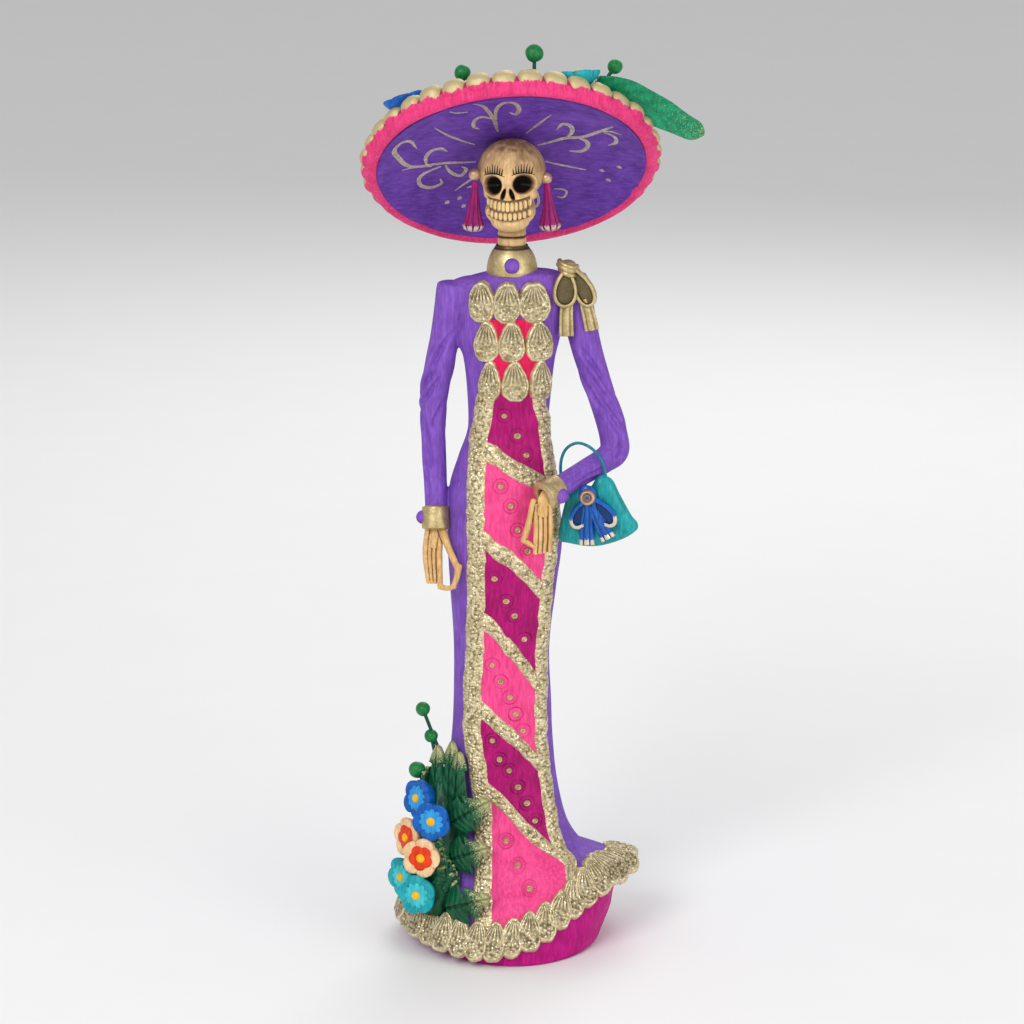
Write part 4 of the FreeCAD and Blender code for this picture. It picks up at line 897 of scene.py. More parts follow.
# Rods of each hand: points, radii, rows, seed
RIGHT_RODS = [([(-32.4 + 2.1 * k, -5.3, 187), (-33.3 + 1.9 * k, -5.8, 176), (-32 + 1.5 * k, -6, 163.5)],
               [1.15, 1.3, 0.95], 46, k) for k in range(3)]
RIGHT_RODS += [
    ([(-27, -5.6, 187), (-27.4, -6.2, 176), (-27, -6.6, 166), (-26.9, -6.8, 161.9)], [1.4, 1.5, 1.25, 1.25],
     46, 4),
    ([(-27.2, -6.8, 161.8), (-24, -7.2, 160.9), (-20.6, -7.9, 161.6)], [1.25, 1.1, 1.1], 24, 5),
    ([(-26.8, -5.6, 188), (-23.2, -8, 178), (-19.4, -9.2, 169.6)], [2.1, 1.5, 1.4], 46, 6),
    ([(-19, -9.2, 170.4), (-19.8, -9, 165.5), (-21.4, -8, 161.2)], [1.6, 1.25, 1.1], 30, 7),
]
LEFT_RODS = [([(x, -27.2, 203), (x + 0.3, -27.9, 192), (x - 0.1, -27.2, 181.6 + 0.3 * k)], [1.1, 1.1, 0.95],
              46, k)
             for k, x in enumerate((14.0, 16.0, 18.0, 20.0))]
LEFT_RODS += [
    ([(13.2, -27, 204.8), (11.4, -27.6, 196), (8.9, -27.5, 187.4)], [1.35, 1.4, 1.25], 46, 9),
    ([(8.7, -27.4, 187.7), (11, -27.7, 186.2), (13.8, -27.7, 184.6)], [1.35, 1.1, 1.0], 24, 10),
]
# Palms: points, first and last radius, flatness
RIGHT_PALM = ([(-28.6, -4.9, 190.5), (-28.7, -5.4, 184.5), (-29.4, -5.8, 179)], 3.7, 2.6, 0.55)
LEFT_PALM = ([(19.6, -24.6, 206.6), (17.8, -26.6, 203.6), (16.9, -27.3, 199)], 3.4, 3.3, 0.5)


def hand(palm, rods):
    points, first, last, flat = palm
    shapes = [tube(smooth_line(points, 20), np.linspace(first, last, 20), 24, flat=flat)]
    return total(shapes + [bone_rod(*rod) for rod in rods])


def hands():
    pivot = Matrix.Translation(HAND_PIVOT)
    lean = pivot @ Matrix.Rotation(math.radians(-HAND_LEAN), 4, "X") @ pivot.inverted()
    right, left = hand(RIGHT_PALM, RIGHT_RODS).moved(lean), hand(LEFT_PALM, LEFT_RODS)
    for name, shape, node in (("hand_right_bones", right, "right_hand"),
                              ("hand_left_bones", left, "left_hand")):
        shade_hollows(piece(name, shape, HAND_BONE, "figure", [node], remesh=0.24, smooth=1), 0.9)


def shade_hollows(obj, reach, strength=0.9):
    """Sets painted shade where the surface is sunk, from the mesh's own curvature spread over reach mm."""
    mesh = obj.data
    v = read(mesh.vertices, "co").astype(float) * 1000
    n = read(mesh.vertices, "normal")
    i, j = read(mesh.edges, "vertices", 2, np.int32).T
    step = v[j] - v[i]
    bend = ((n[j] - n[i]) * step).sum(1) / np.maximum((step ** 2).sum(1), 1e-6)
    count = np.maximum(np.bincount(np.stack([i, j], 1).ravel(), minlength=len(v)), 1)
    value = (np.bincount(i, bend, len(v)) + np.bincount(j, bend, len(v))) / count
    for _ in range(max(1, int(reach * 4))):
        value = (value + (np.bincount(i, value[j], len(v)) + np.bincount(j, value[i], len(v))) / count) / 2
    # painted shade: darker where the smoothed curvature is concave
    hollow_shade = np.clip(-value * 2.2 * reach, 0, 1) * strength
    mesh.attributes.new("deep", "FLOAT", "POINT").data.foreach_set("value", hollow_shade.astype(np.float32))


# ---------------------------------------------------------------- skull and neck
HEAD_TURN = Matrix.Translation((NECK_X, 0, 0)) @ Matrix.Rotation(math.radians(HEAD_YAW), 4, "Z")
LUMPS = [((-0.3, 1.0, 342.0), (14.3, 14.8, 13.2)), ((0, -5.2, 332.5), (10.6, 10.2, 9.5)),
         ((7.2, -6.0, 332.4), (3.9, 4.6, 3.6)),
         ((-7.2, -6.0, 332.4), (3.9, 4.6, 3.6)), ((0, -5.6, 326.2), (11.0, 9.8, 7.8)),
         ((0, -6.6, 321.2), (7.8, 8.0, 4.4)),
         ((0, 2.0, 331.0), (9.0, 9.0, 10.0))]
SOCKETS = [((6.2, 337.8), (3.9, 3.7), 5.0), ((-6.5, 337.0), (3.6, 3.7), 5.0)]


NOSE_Z, NOSE_SPREAD, CHEEK_X, CHEEK_Z, MOUTH_Z = 333.4, 1.75, 10.0, 328.2, 326.2
MOUTH_LINES = [(330.6, 0.42, 0.35), (321.9, 0.45, 0.55)]         # height, width, curve
TEETH = [(11, 328.3, 4.1, 1), (10, 324.1, 3.3, -1)]              # count, height, length, taper
LASHES = [(-1, 341.6), (1, 342.2)]                               # side, height
EYE_X, LASH_HALF = 6.1, 4.6


def skull_surface(d):
    """Distance from the skull's middle to its surface along unit directions d, before the sockets."""
    core = np.array([0, -1.5, 336.0])
    blend = 1.4                          # larger blends the lumps more tightly
    heaped = np.zeros(len(d))
    for centre, radii in LUMPS:
        o = (core - np.array(centre)) / np.array(radii)
        w = d / np.array(radii)
        a, b, c = (w * w).sum(1), (w * o).sum(1), (o * o).sum() - 1
        root = b * b - a * c
        far = np.where(root > 0, (-b + np.sqrt(np.maximum(root, 0))) / a, -5)
        heaped += np.exp(np.clip(far, -5, 60) * blend - 20 * blend)
    return core, np.log(heaped) / blend + 20


def skull():
    n = 300
    t, a = grid(np.linspace(0.002, math.pi - 0.002, n), circle(2 * n))
    d = xyz(np.sin(t) * np.cos(a), np.cos(t), np.sin(t) * np.sin(a)).reshape(-1, 3)
    core, reach = skull_surface(d)
    v = core + d * reach[:, None]
    x, y, z = v.T
    face = y < -2
    dark, black, inward = np.zeros((3, len(v)))
    for (sx, sz), (rx, rz), depth in SOCKETS:
        q = np.hypot((x - sx) / rx, (z - sz) / rz)
        q = np.where(face, q, 9)
        inward += depth * clamp((1.08 - q) / 0.30) ** 0.7 * (0.55 + 0.45 * clamp(1 - q))
        inward -= 0.55 * bell(q, 1.28, 0.16)
        # Over the socket and a soft ring round it: partly the brown paint of the socket, partly painted
        # shade round the pit.
        dark = np.maximum(dark, clamp((1.22 - q) / 0.2))
        black = np.maximum(black, clamp((1.04 - q) / 0.08))
    for sign in (-1, 1):
        lean = (x - sign * NOSE_SPREAD) - sign * (NOSE_Z + 0.4 - z) * 0.30
        q = np.hypot(lean / 0.95, (z - NOSE_Z) / 2.6)
        q = np.where(face, q, 9)
        inward += 2.0 * clamp((1.1 - q) / 0.5)
        dark = np.maximum(dark, clamp((1.25 - q) / 0.3))
        black = np.maximum(black, clamp((1.0 - q) / 0.3))
    inward -= np.where(face, 1.1 * bell(x, 0, 1.1) * bell(z, NOSE_Z + 1.1, 3.2), 0)
    # painted shade in the hollow under each cheekbone, which is also sunk
    cheek = np.where(face, bell(np.abs(x), CHEEK_X, 1.8) * bell(z, CHEEK_Z, 2.6), 0)
    inward += 1.7 * cheek
    dark = np.maximum(dark, 0.85 * cheek ** 1.5)
    for height, w, curve in MOUTH_LINES:
        bend = height + 0.055 * x ** 2 * curve
        line = np.where(face & (np.abs(x) < 9.0), bell(z, bend, w), 0)
        inward += 0.55 * line
        dark = np.maximum(dark, 0.9 * line)
    mouth = np.where(face & (np.abs(x) < 9.2), clamp(1 - np.abs((z - MOUTH_Z) - 0.022 * x ** 2) / 4.4) > 0,
                     0)
    inward += 0.55 * mouth
    dark = np.maximum(dark, 0.8 * mouth)
    # Darker towards the top with vertical streaks, partly streaky brown paint and partly painted shade under
    # the hat; the sides above the cheeks get painted shade where the head turns away from the light.
    top = clamp((z - 339) / 12) * (0.35 + 0.35 * noise(v * [1, 1, 0.14], 1.3, 4) + 0.35 * noise(v, 6, 9))
    sides = clamp((np.abs(x) - 9.5) / 4) * 0.35
    dark = np.maximum(dark, np.clip(np.where(z > 342, top + 0.12, top * 0.8) + sides * (z > 334), 0, 0.72))
    v = v - d * inward[:, None] + d * (0.10 * noise(v, 2.2, 7))[:, None]
    shape = Shape(v, grid_faces(n, 2 * n, wrap_cols=True), deep=dark, tip=black).moved(HEAD_TURN)
    piece("skull_bone", shape, BONE, "head", ["skull"])
    stub = lathe([(0.5, 314.1), (5.7, 314.15), (6.05, 314.9), (5.9, 316.2), (6.1, 317.4), (6.2, 320),
                  (6.0, 325), (0.5, 325)], 64, 0.08, 3)
    # painted shade where the stub meets the neck and in its groove, and an even darkening above 317.3 mm
    # where it runs up under the jaw
    stub.values["deep"] = clamp(0.85 * bell(stub.v[:, 2], 314.4, 0.45) + 0.5
                                * bell(stub.v[:, 2], 316.3, 0.4) + 0.4 * (stub.v[:, 2] > 317.3))
    piece("skull_neck_stub", stub.moved(Matrix.Translation((NECK_X, 0, 0))), BONE, "head")
    teeth_and_lashes(shape)


def teeth_and_lashes(skull_shape):
    tree = BVHTree.FromPolygons([Vector(p) for p in skull_shape.v], skull_shape.f)
    turn = np.array(HEAD_TURN)

    def on_skull(x, z, out=0.0):
        """The skull's front at face coordinates x and z, in the row frame."""
        start = turn @ np.array([x, -40, z, 1])
        way = turn[:3, :3] @ np.array([0, 1.0, 0])
        hit, normal, _i, _d = tree.ray_cast(Vector(start[:3]), Vector(way))
        return np.array(hit) + np.array(normal) * out, np.array(normal)
    teeth = []
    for count, z0, tall, taper in TEETH:
        for k in range(count):
            s = (k - (count - 1) / 2) / ((count - 1) / 2)
            x = 8.9 * s * (1 - 0.05 * abs(s))
            wide = 0.96 * (1 - 0.18 * abs(s))
            z = z0 + 1.45 * s * s
            p, n = on_skull(x, z)
            lump = ball((0, 0, 0), (1, 1, 1), 2)
            q = bent(lump.v, 0.72)
            q *= [wide * 0.92, tall * 0.5 * (1 - 0.15 * abs(s)), 0.95]
            q[:, 0] *= 1 - 0.12 * (q[:, 1] / tall) * taper
            lump.v = q
            lump.values["deep"] = np.clip((np.abs(q[:, 1]) / (tall * 0.5) - 0.8) * 1.6, 0, 0.6)
            flat = unit(n * [1, 1, 0.25])
            teeth.append(lump.moved(frame_matrix(p + flat * 0.15, flat, (0, 0, -1))))
    piece("teeth_rows", total(teeth), TOOTH, "head")
    strokes = []
    for sign, base in LASHES:
        arc = [(sign * EYE_X + LASH_HALF * c, base + 1.5 * math.cos(c * 1.35) - 1.1)
               for c in np.linspace(-1, 1, 15)]
        line = np.array([on_skull(x, z, 0.02)[0] for x, z in arc])
        strokes.append(tube(line, 0.30 * np.sin(np.linspace(0.35, math.pi - 0.35, 15)), 8))
        for i in range(8):
            c = -0.78 + 1.5 * i / 7
            x, z = sign * EYE_X + LASH_HALF * c, base + 1.5 * math.cos(c * 1.35) - 1.0
            tall = 3.4 - 1.4 * abs(c) + (0.4 if i % 2 else 0)
            line = np.array([on_skull(x + 0.55 * c * h * tall * 0.5, z + h * tall, 0.02)[0]
                             for h in np.linspace(0, 1, 5)])
            strokes.append(tube(line, np.linspace(0.36, 0.12, 5), 8))
    piece("painted_lashes", total(strokes), LASH, "head")


def neck():
    rows = [(0.4, 282.0), (2.95, 282.0), (2.95, 299.4), (5.9, 299.5)]        # the peg, then the neck
    for z in np.linspace(300, 313.6, 40):
        ring = 0.30 * bell(z, 309.6, 0.5) + 0.22 * bell(z, 305.0, 0.5)
        rows.append((6.08 - ring - 0.5 * max(0, (z - 312.9)), z))
    rows += [(3.0, 313.75), (2.95, 318.0), (0.4, 318.0)]
    shape = lathe(rows, 80, 0.05, 5)
    z = shape.v[:, 2]
    # painted shade in the ring groove at 309.7 mm and at the top under the head, over a light overall
    # darkening with noise
    shape.values["deep"] = clamp(0.9 * bell(z, 309.7, 0.5) + 0.75 * bell(z, 313.6, 0.45) + 0.18 + 0.15
                                 * noise(shape.v * [1, 1, 0.3], 2, 3))
    piece("neck_bone", shape.moved(Matrix.Translation((NECK_X, 0, 0))), BONE, "neck", ["neck_post"])


def earrings():
    piece("earring_bead_pair", beads("earring_beads", 0.05, 2), COPPER, "head", ["earring_beads"])
    tassels = []
    for x0, y0, lean, wide in ((-11.6, -4.4, -0.9, 4.4), (18.7, -2.6, 1.6, 4.6)):
        rows = smooth_line([(x0, y0, 337.2, 1.3), (x0 + 0.30 * lean, y0 - 0.3, 331, 2.0),
                            (x0 + 0.62 * lean, y0 - 0.5, 324.5, 3.0),
                            (x0 + 0.9 * lean, y0 - 0.5, 319.4, wide),
                            (x0 + lean, y0 - 0.5, 317.8, wide * 0.92)], 60)
        n = 9

        def bulge(s, a, n=n):
            return 0.36 * np.clip(s / 12, 0.15, 1) * (np.abs(np.cos(a * n / 2)) - 0.6)
        shape = tube(rows[:, :3], rows[:, 3], 108, flat=0.6, side=(0, 1, 0), bulge=bulge, cap=0.35)
        angle = np.tile(circle(108), 66)
        share = shape.values["share"]
        # painted shade in the grooves between the strands, weaker near the top
        shape.values["deep"] = clamp((0.55 - np.abs(np.cos(angle * n / 2))) * 2.2) * np.clip(share * 3, 0.2,
            1)
        shape.values["tip"] = np.clip((share - 0.80) * 6, 0, 0.9) * (np.abs(np.cos(angle * n / 2)) > 0.35)
        tassels.append(shape)
    piece("earring_tassel_pair", total(tassels), TASSEL, "head", ["earring_tassels"])


# ---------------------------------------------------------------- hat
HAT = (Matrix.Translation(HAT_C) @ Matrix.Rotation(math.radians(HAT_ROLL), 4, "Y")
       @ Matrix.Rotation(math.radians(HAT_TILT), 4, "X"))


def lip_height(angle):
    """Height of the inner lip of the rim: it hangs lowest at the front."""
    return -3.3 - 2.7 * np.sin(angle)


def under_brim(r, angle):
    """Height of the brim's underside in the hat's frame. The angle is 90 degrees at the front."""
    edge = np.clip((r - 38) / (LIP_R - 38), 0, 1.05) ** 2
    x, y = r * np.cos(angle), r * np.sin(angle)
    waves = 0.28 * noise(xyz(x, y, 0), 11, 4)
    return BRIM_DISH * (1 - (r / BRIM_R) ** 2) + (lip_height(angle) + 0.5) * edge + waves


def on_brim(r, angle, out=0.0):
    """A point on the brim's underside, out below it."""
    slope = (under_brim(r + 0.2, angle) - under_brim(r - 0.2, angle)) / 0.4
    n = unit(np.array([slope * math.cos(angle), -slope * math.sin(angle), -1.0]))
    return np.array([r * math.cos(angle), -r * math.sin(angle), under_brim(r, angle)]) + n * out


def hat():
    cols = 240
    angle = circle(cols)
    below = [(r, 0) for r in np.linspace(3, 57.2, 70)]
    above = [(r, 3.0) for r in np.linspace(56.0, 3, 50)]
    rows = [xyz(r * np.cos(angle), r * np.sin(angle), under_brim(r, -angle) + lift)
            for r, lift in below + above]
    v = np.stack(rows)
    brim = Shape(v, grid_faces(len(rows), cols, True, True))
    piece("brim_sheet", brim.moved(HAT), HAT_PURPLE, "head", ["hat_brim"])
    dome = [(0.3, 28.6)] + [(17.5 * math.cos(t) ** 0.62, 8.4 + 20.3 * math.sin(t))
                            for t in np.linspace(1.45, 0.02, 28)]
    dome += [(17.9, 8.0), (19.0, 7.4), (18.6, 6.6), (14.0, 6.8), (13.5, 12), (8, 22), (0.3, 24.5)]
    crown = lathe(dome, 120, 0.3, 6)
    piece("crown_dome", crown.moved(HAT), HAT_PURPLE, "head", ["hat_crown"])
    band = lathe(round_profile([(17.6, 8.2), (19.1, 8.4), (19.0, 12.6), (17.7, 12.8)], 20), 120, 0.2, 8)
    piece("crown_band", band.moved(HAT), GOLD_SMOOTH, "head")
    rim()
    scrolls()


def rim():
    """The rolled edge: a smooth pink lip, and round gold tongues over its outer side."""
    cols, rows = 540, 44
    s, a = grid(circle(rows), circle(cols))
    wander = noise(xyz(40 * np.cos(a), 40 * np.sin(a), 0), 9, 3)
    low, high = lip_height(-a) - 0.9, 2.4
    rr = 59.1 + 3.2 * np.cos(s) + 0.25 * wander
    zz = (low + high) / 2 + (high - low) / 2 * np.sin(s)
    v = xyz(rr * np.cos(a), rr * np.sin(a), zz)
    v = v + 0.12 * noise(v, 3.0, 6)[..., None]
    # painted shade on the upper outer side of the roll, under the gold tongues
    deep = np.clip(np.cos(s) * 1.4, 0, 0.6) * (np.sin(s) > 0)
    shape = Shape(v, grid_faces(rows, cols, True, True)[:, ::-1], deep=deep)
    piece("rim_roll", shape.moved(HAT), RIM_PINK, "head", ["hat_rim"])
    tongues = []
    for k in range(SCALLOPS):
        a0 = TAU * k / SCALLOPS
        r = np.random.default_rng(k)
        low = lip_height(-a0) + 1.0 + 0.5 * r.random()
        top = 5.2 + 0.3 * r.random()
        lump = ball((0, 0, 0), (1, 1, 1), 3)
        q = bent(lump.v, [0.8, 0.78, 0.9])
        gold = clamp(0.5 + (lump.v[:, 2] + 0.50 + 0.25 * noise(lump.v * 3, 1.5, k)) * 2.4)
        # painted shade on each tongue's two sides, where it meets its neighbours
        side = clamp((np.abs(lump.v[:, 1]) - 0.80) / 0.14)
        q = q * [4.6, 5.15 * (1 + 0.04 * r.random()), (top - low) / 2] + 0.16 * noise(q * 6, 1.8, k)[:, None]
        q[:, 0] -= 1.3 * clamp(lump.v[:, 2])
        seat = Matrix.Translation((59.7 + 0.25 * math.sin(k * 2.7), 0, (low + top) / 2))
        m = Matrix.Rotation(a0, 4, "Z") @ seat @ Matrix.Rotation(0.05 * math.sin(k * 1.3), 4, "Y")
        tongues.append(Shape(q, lump.f, deep=0.85 * side, tip=gold).moved(m))
    piece("rim_tongues", total(tongues).moved(HAT), RIM_PINK, "head", ["hat_scallops"])


def ribbon(points, widths, out=0.16):
    """A flat painted stroke on the brim's underside, through (radius, degrees) points."""
    rows = smooth_line([(*p, w) for p, w in zip(points, widths)], 10 * len(points))
    xy = np.stack([rows[:, 0] * np.cos(np.radians(rows[:, 1])), rows[:, 0] * np.sin(np.radians(rows[:, 1]))],
                  -1)
    way = unit(np.gradient(xy, axis=0))
    side = np.stack([-way[:, 1], way[:, 0]], -1)
    v = []
    for p, s, w in zip(xy, side, rows[:, 2]):
        for k in (-0.5, -0.2, 0.2, 0.5):
            q = p + s * k * w
            r, a = math.hypot(*q), math.atan2(q[1], q[0])
            v.append(on_brim(r, a, out if abs(k) < 0.4 else -0.02))
    return Shape(np.array(v), [f[::-1] for f in grid_faces(len(rows), 4).tolist()])


# Widest width in mm, then (radius, degrees) points: 0 is the viewer's right and 90 the front
STROKES = [
    (1.7, [(16.5, 203), (25.5, 191), (32, 186), (39, 184), (46.5, 182)]),
    (2.2, [(34, 187), (43, 181), (48, 169), (51.5, 160), (50, 154), (45.5, 155), (41, 163)]),
    (1.9, [(36, 185), (36, 175), (34, 168), (30, 166), (27, 171)]),
    (1.9, [(30.5, 191), (36, 192), (41, 195), (42.5, 202), (40, 208), (35.5, 210), (34, 205)]),
    (1.8, [(28.5, 191), (28.5, 205), (26.5, 214), (22.5, 210), (23, 202)]),
    (1.9, [(15.5, 107), (23.5, 103), (31, 103), (39.5, 104), (47, 107)]),
    (1.2, [(46.5, 121), (41.5, 120), (38.5, 115)]),
    (2.1, [(25.5, 101), (34.5, 97), (40, 91), (39, 85), (33, 81), (28.5, 83), (30.5, 88)]),
    (1.8, [(27, 104), (30.5, 111), (29.5, 118), (25.5, 124), (22, 123)]),
    (2.0, [(12, 12), (23.5, 18), (31.5, 17), (40.5, 21), (49.5, 27)]),
    (1.4, [(40.5, 21), (46, 21), (50, 19)]),
    (2.1, [(26, 19), (30, 27), (31.5, 35), (29.5, 40), (25, 36)]),
    (2.1, [(30, 17), (33, 11), (33, 4), (30, -3), (25, -4)]),
    (1.7, [(42.5, 20), (46, 16), (45.5, 10), (42, 6)]),
    (1.4, [(16, 157), (28, 148), (40.5, 140)]), (1.4, [(14, 58), (24, 57), (33, 56)]),
           (1.4, [(17.5, -34), (26, -29), (35, -25)]),
    (1.1, [(33.5, -58), (35.5, -54), (38, -53), (40, -58), (38, -61)]),
           (1.1, [(31, -130), (29.5, -128), (30, -124)]),
    (1.4, [(18, 228), (26, 226), (35, 224)]), (1.3, [(20, 255), (29, 262), (33, 270), (30, 276)]),
    (1.3, [(30, 262), (37, 258), (42, 262), (40, 267)]),
           (1.3, [(22, -75), (30, -72), (38, -74), (41, -79), (38, -82)]),
]
DOTS = [(41, -21), (47, -13), (46, -27), (42, -134), (37.5, -129), (41, -123)]


def scrolls():
    """Gold scrollwork painted under the brim: branching curls with single rays between them."""
    strokes = []
    for wide, points in STROKES:
        share = np.linspace(0, 1, len(points))
        strokes.append(ribbon(points,
                              wide * np.clip(1.25 * np.sin(math.pi * (0.12 + 0.80 * share)), 0.3, 1)))
    for r, degrees in DOTS:
        strokes.append(ribbon([(r - 1.1, degrees), (r, degrees + 0.3), (r + 1.1, degrees)], [0.7, 2.1, 0.7]))
    piece("painted_scrolls", total(strokes).moved(HAT), SCROLL_GOLD, "head")


def leaf_shape(base, tip, half_w, thick, facing, bend=0.0, curl=0.0, seed=0, gold_from=0.6, line=None,
               pinch=1.6, jag=0.0):
    """A leaf with a sunk midrib, slanting veins and a gold-dusted tip; painted shade darkens the midrib and
    vein grooves.
    """
    n, m = 70, 41
    base, tip, facing = (np.array(q, float) for q in (base, tip, facing))
    facing = unit(facing)
    s, w = grid(np.linspace(0, 1, n), np.linspace(-1, 1, m))
    if line is None:
        path = base + (tip - base) * s[:, :1] + facing * bend * np.sin(math.pi * s[:, :1])
    else:
        path = smooth_line(line, n)
    along = unit(np.gradient(path, axis=0))
    side = unit(np.cross(along, facing))
    up = unit(np.cross(side, along))
    width = half_w * clamp(np.sin(math.pi * (0.10 + 0.90 * s ** 0.85))) ** (1 / pinch) * (1 + 0.05
        * np.sin(s * 17 + seed) * (np.abs(w) > 0.7))
    width = width * (1 - jag * ((s * 3.2 + 0.4) % 1) * (s > 0.42))
    top = thick * (0.55 * (1 - np.abs(w) ** 2.2) + 0.10 - 0.42 * bell(w, 0, 0.09))
    veins = np.cos((s * 15 - np.abs(w) * 2.4) * TAU / 2)
    top = top + 0.22 * veins * (1 - np.abs(w)) * clamp(s * 8)
    lift = top - curl * w ** 2
    body = path[:, None, :] + side[:, None, :] * (w * width)[..., None]
    top_side = body + up[:, None, :] * lift[..., None]
    back = body + up[:, None, :] * (-0.5 * thick * (1 - w ** 2) - curl * w ** 2 - 0.15)[..., None]
    v = np.concatenate([top_side, back[:, ::-1]], 1)
    # painted shade in the midrib groove and the low parts of the veins; the back side gets half of it
    dark = np.clip(0.8 * bell(w, 0, 0.07) + 0.5 * (veins < -0.55), 0, 0.8)
    gold = clamp((s - gold_from) / (1.02 - gold_from)) ** 0.8 * 0.8
    both = {k: np.concatenate([q, 0.5 * q[:, ::-1]], 1) for k, q in (("deep", dark), ("tip", gold))}
    return Shape(v, capped_faces(n, 2 * m), **both)


def flower(place, facing, depth=9.0, seed=0, daisy=9):
    """(cup, face, centre) of a flower that opens along facing: a lobed cup, a painted daisy and a button."""
    r, lobes, m = 8.2, 5, 120
    a = circle(m)
    rows = []
    for k in np.linspace(0, 1, 20):
        rr = 2.4 + (r - 2.4) * math.sin(k * math.pi / 2) ** 0.9
        rows.append((rr, -depth * (1 - k), k))
    rows += [(r * 0.99, 0.7, 1.0), (r * 0.93, 1.0, 1.0), (r * 0.82, 0.75, 0.95), (r * 0.6, 0.35, 0.7),
             (r * 0.3, 0.15, 0.3), (0.2, 0.1, 0.0)]
    rows = [(0.2, -depth, 0.0)] + rows
    lobe = np.abs(np.cos(lobes * a / 2 + seed)) ** 0.7 - 0.62
    v, dark = [], []
    for rr, z, k in rows:
        radius = rr * (1 + 0.20 * lobe * k ** 2)
        v.append(xyz(radius * np.cos(a), radius * np.sin(a), z + 0.35 * lobe * k))
        # painted shade in the folds between the cup's lobes, strongest towards the rim
        dark.append(np.clip((0.22 - (lobe + 0.62)) * 3 * k, 0, 0.8))
    v = np.stack(v)
    v = v + 0.14 * noise(v + seed * 9, 2.6, 5)[..., None]
    cup = Shape(v, grid_faces(len(rows), m, wrap_cols=True), deep=np.concatenate(dark))
    rim = 0.5 + 0.5 * np.abs(np.cos(daisy * a / 2 + 1)) ** 0.7
    rings = [(0.02, 0.62), (0.2, 0.62), (0.5, 0.66), (0.8, 0.62), (0.94, 0.52), (1.0, 0.1)]
    out = 0.70 * r * (0.55 + 0.45 * rim)
    disc = np.stack([xyz(out * k * np.cos(a), out * k * np.sin(a), 0.35 + h) for k, h in rings])
    face = Shape(disc, grid_faces(len(rings), m, wrap_cols=True))
    centre = ball((0, 0, 0.85), (0.24 * r, 0.24 * r, 1.15), 2, 0.07, 1.2, seed)
    down = (0, 0, -1) if abs(unit(np.array(facing, float))[2]) < 0.9 else (0, -1, 0)
    m4 = frame_matrix(np.array(place, float), facing, down)
    return [s.moved(m4) for s in (cup, face, centre)]


def stems(name, body, seed):
    piece(name + "_balls", beads(name + "_balls", 0.06, 3.0, seed, 1.02), BALL_GREEN, body,
          [name + "_balls"])
    rods = []
    for v in solids(name + "_wires"):
        mid, along, _n, size = axes_of(v, (0, 0, 1), (0, -1, 0))
        line = [mid - along * size[0] / 2, mid, mid + along * size[0] / 2]
        rods.append(tube(smooth_line(line, 14), 0.78, 14, side=(1, 0, 0.2)))
    piece(name + "_wires", total(rods), STEM_GREEN, body, [name + "_wires"])


HAT_FLOWERS = [((30.8, -48.4, 9.4), (0, -0.55, 0.85)), ((-42.4, -40, 9), (-0.25, -0.5, 0.85)),
               ((-20, 33, 11), (-0.2, 0.4, 1))]
HAT_LEAF_LINE = [(38, -43, 8.5), (49.5, -36.5, 7.6), (59.6, -27.8, 5), (70, -18.6, 3.4), (78, -12.4, 2),
                 (82, -10, 1.6)]


def hat_trim():
    turn = HAT.to_3x3()
    groups = [[], [], []]
    for k, (place, facing) in enumerate(HAT_FLOWERS):
        parts = flower(np.array(HAT @ Vector(place)), np.array(turn @ Vector(facing)), depth=6.0, seed=k)
        for g, s in zip(groups, parts):
            g.append(s)
    piece("hat_flower_turquoise", groups[0][0] + groups[0][2], TURQUOISE, "head", ["hat_flower_cups"])
    piece("hat_flower_blue", groups[0][1], BLUE, "head")
    piece("hat_flower_daisies", total(groups[1]), AQUA, "head", ["hat_flower_faces"])
    piece("hat_flower_buttons", total(groups[2]), YELLOW, "head", ["hat_flower_centres"])
    left = [(-40, 6, 9.4), (-50, 9, 9.0), (-58, 11, 7.4), (-63.5, 12.3, 4.9)]
    blades = []
    for line, face, wide in ((HAT_LEAF_LINE, (-0.62, -0.1, 0.78), 6.4), (left, (0.1, 0.2, 1), 5.0)):
        pts = [np.array(HAT @ Vector(p)) for p in line]
        blades.append(leaf_shape(pts[0], pts[-1], wide, 2.6, np.array(turn @ Vector(face)), line=pts,
                                 gold_from=-0.25, curl=0.8, pinch=2.2))
    piece("hat_leaf_blades", total(blades), HAT_LEAF, "head", ["hat_leaves"])
    stems("hat_stem", "head", 20)


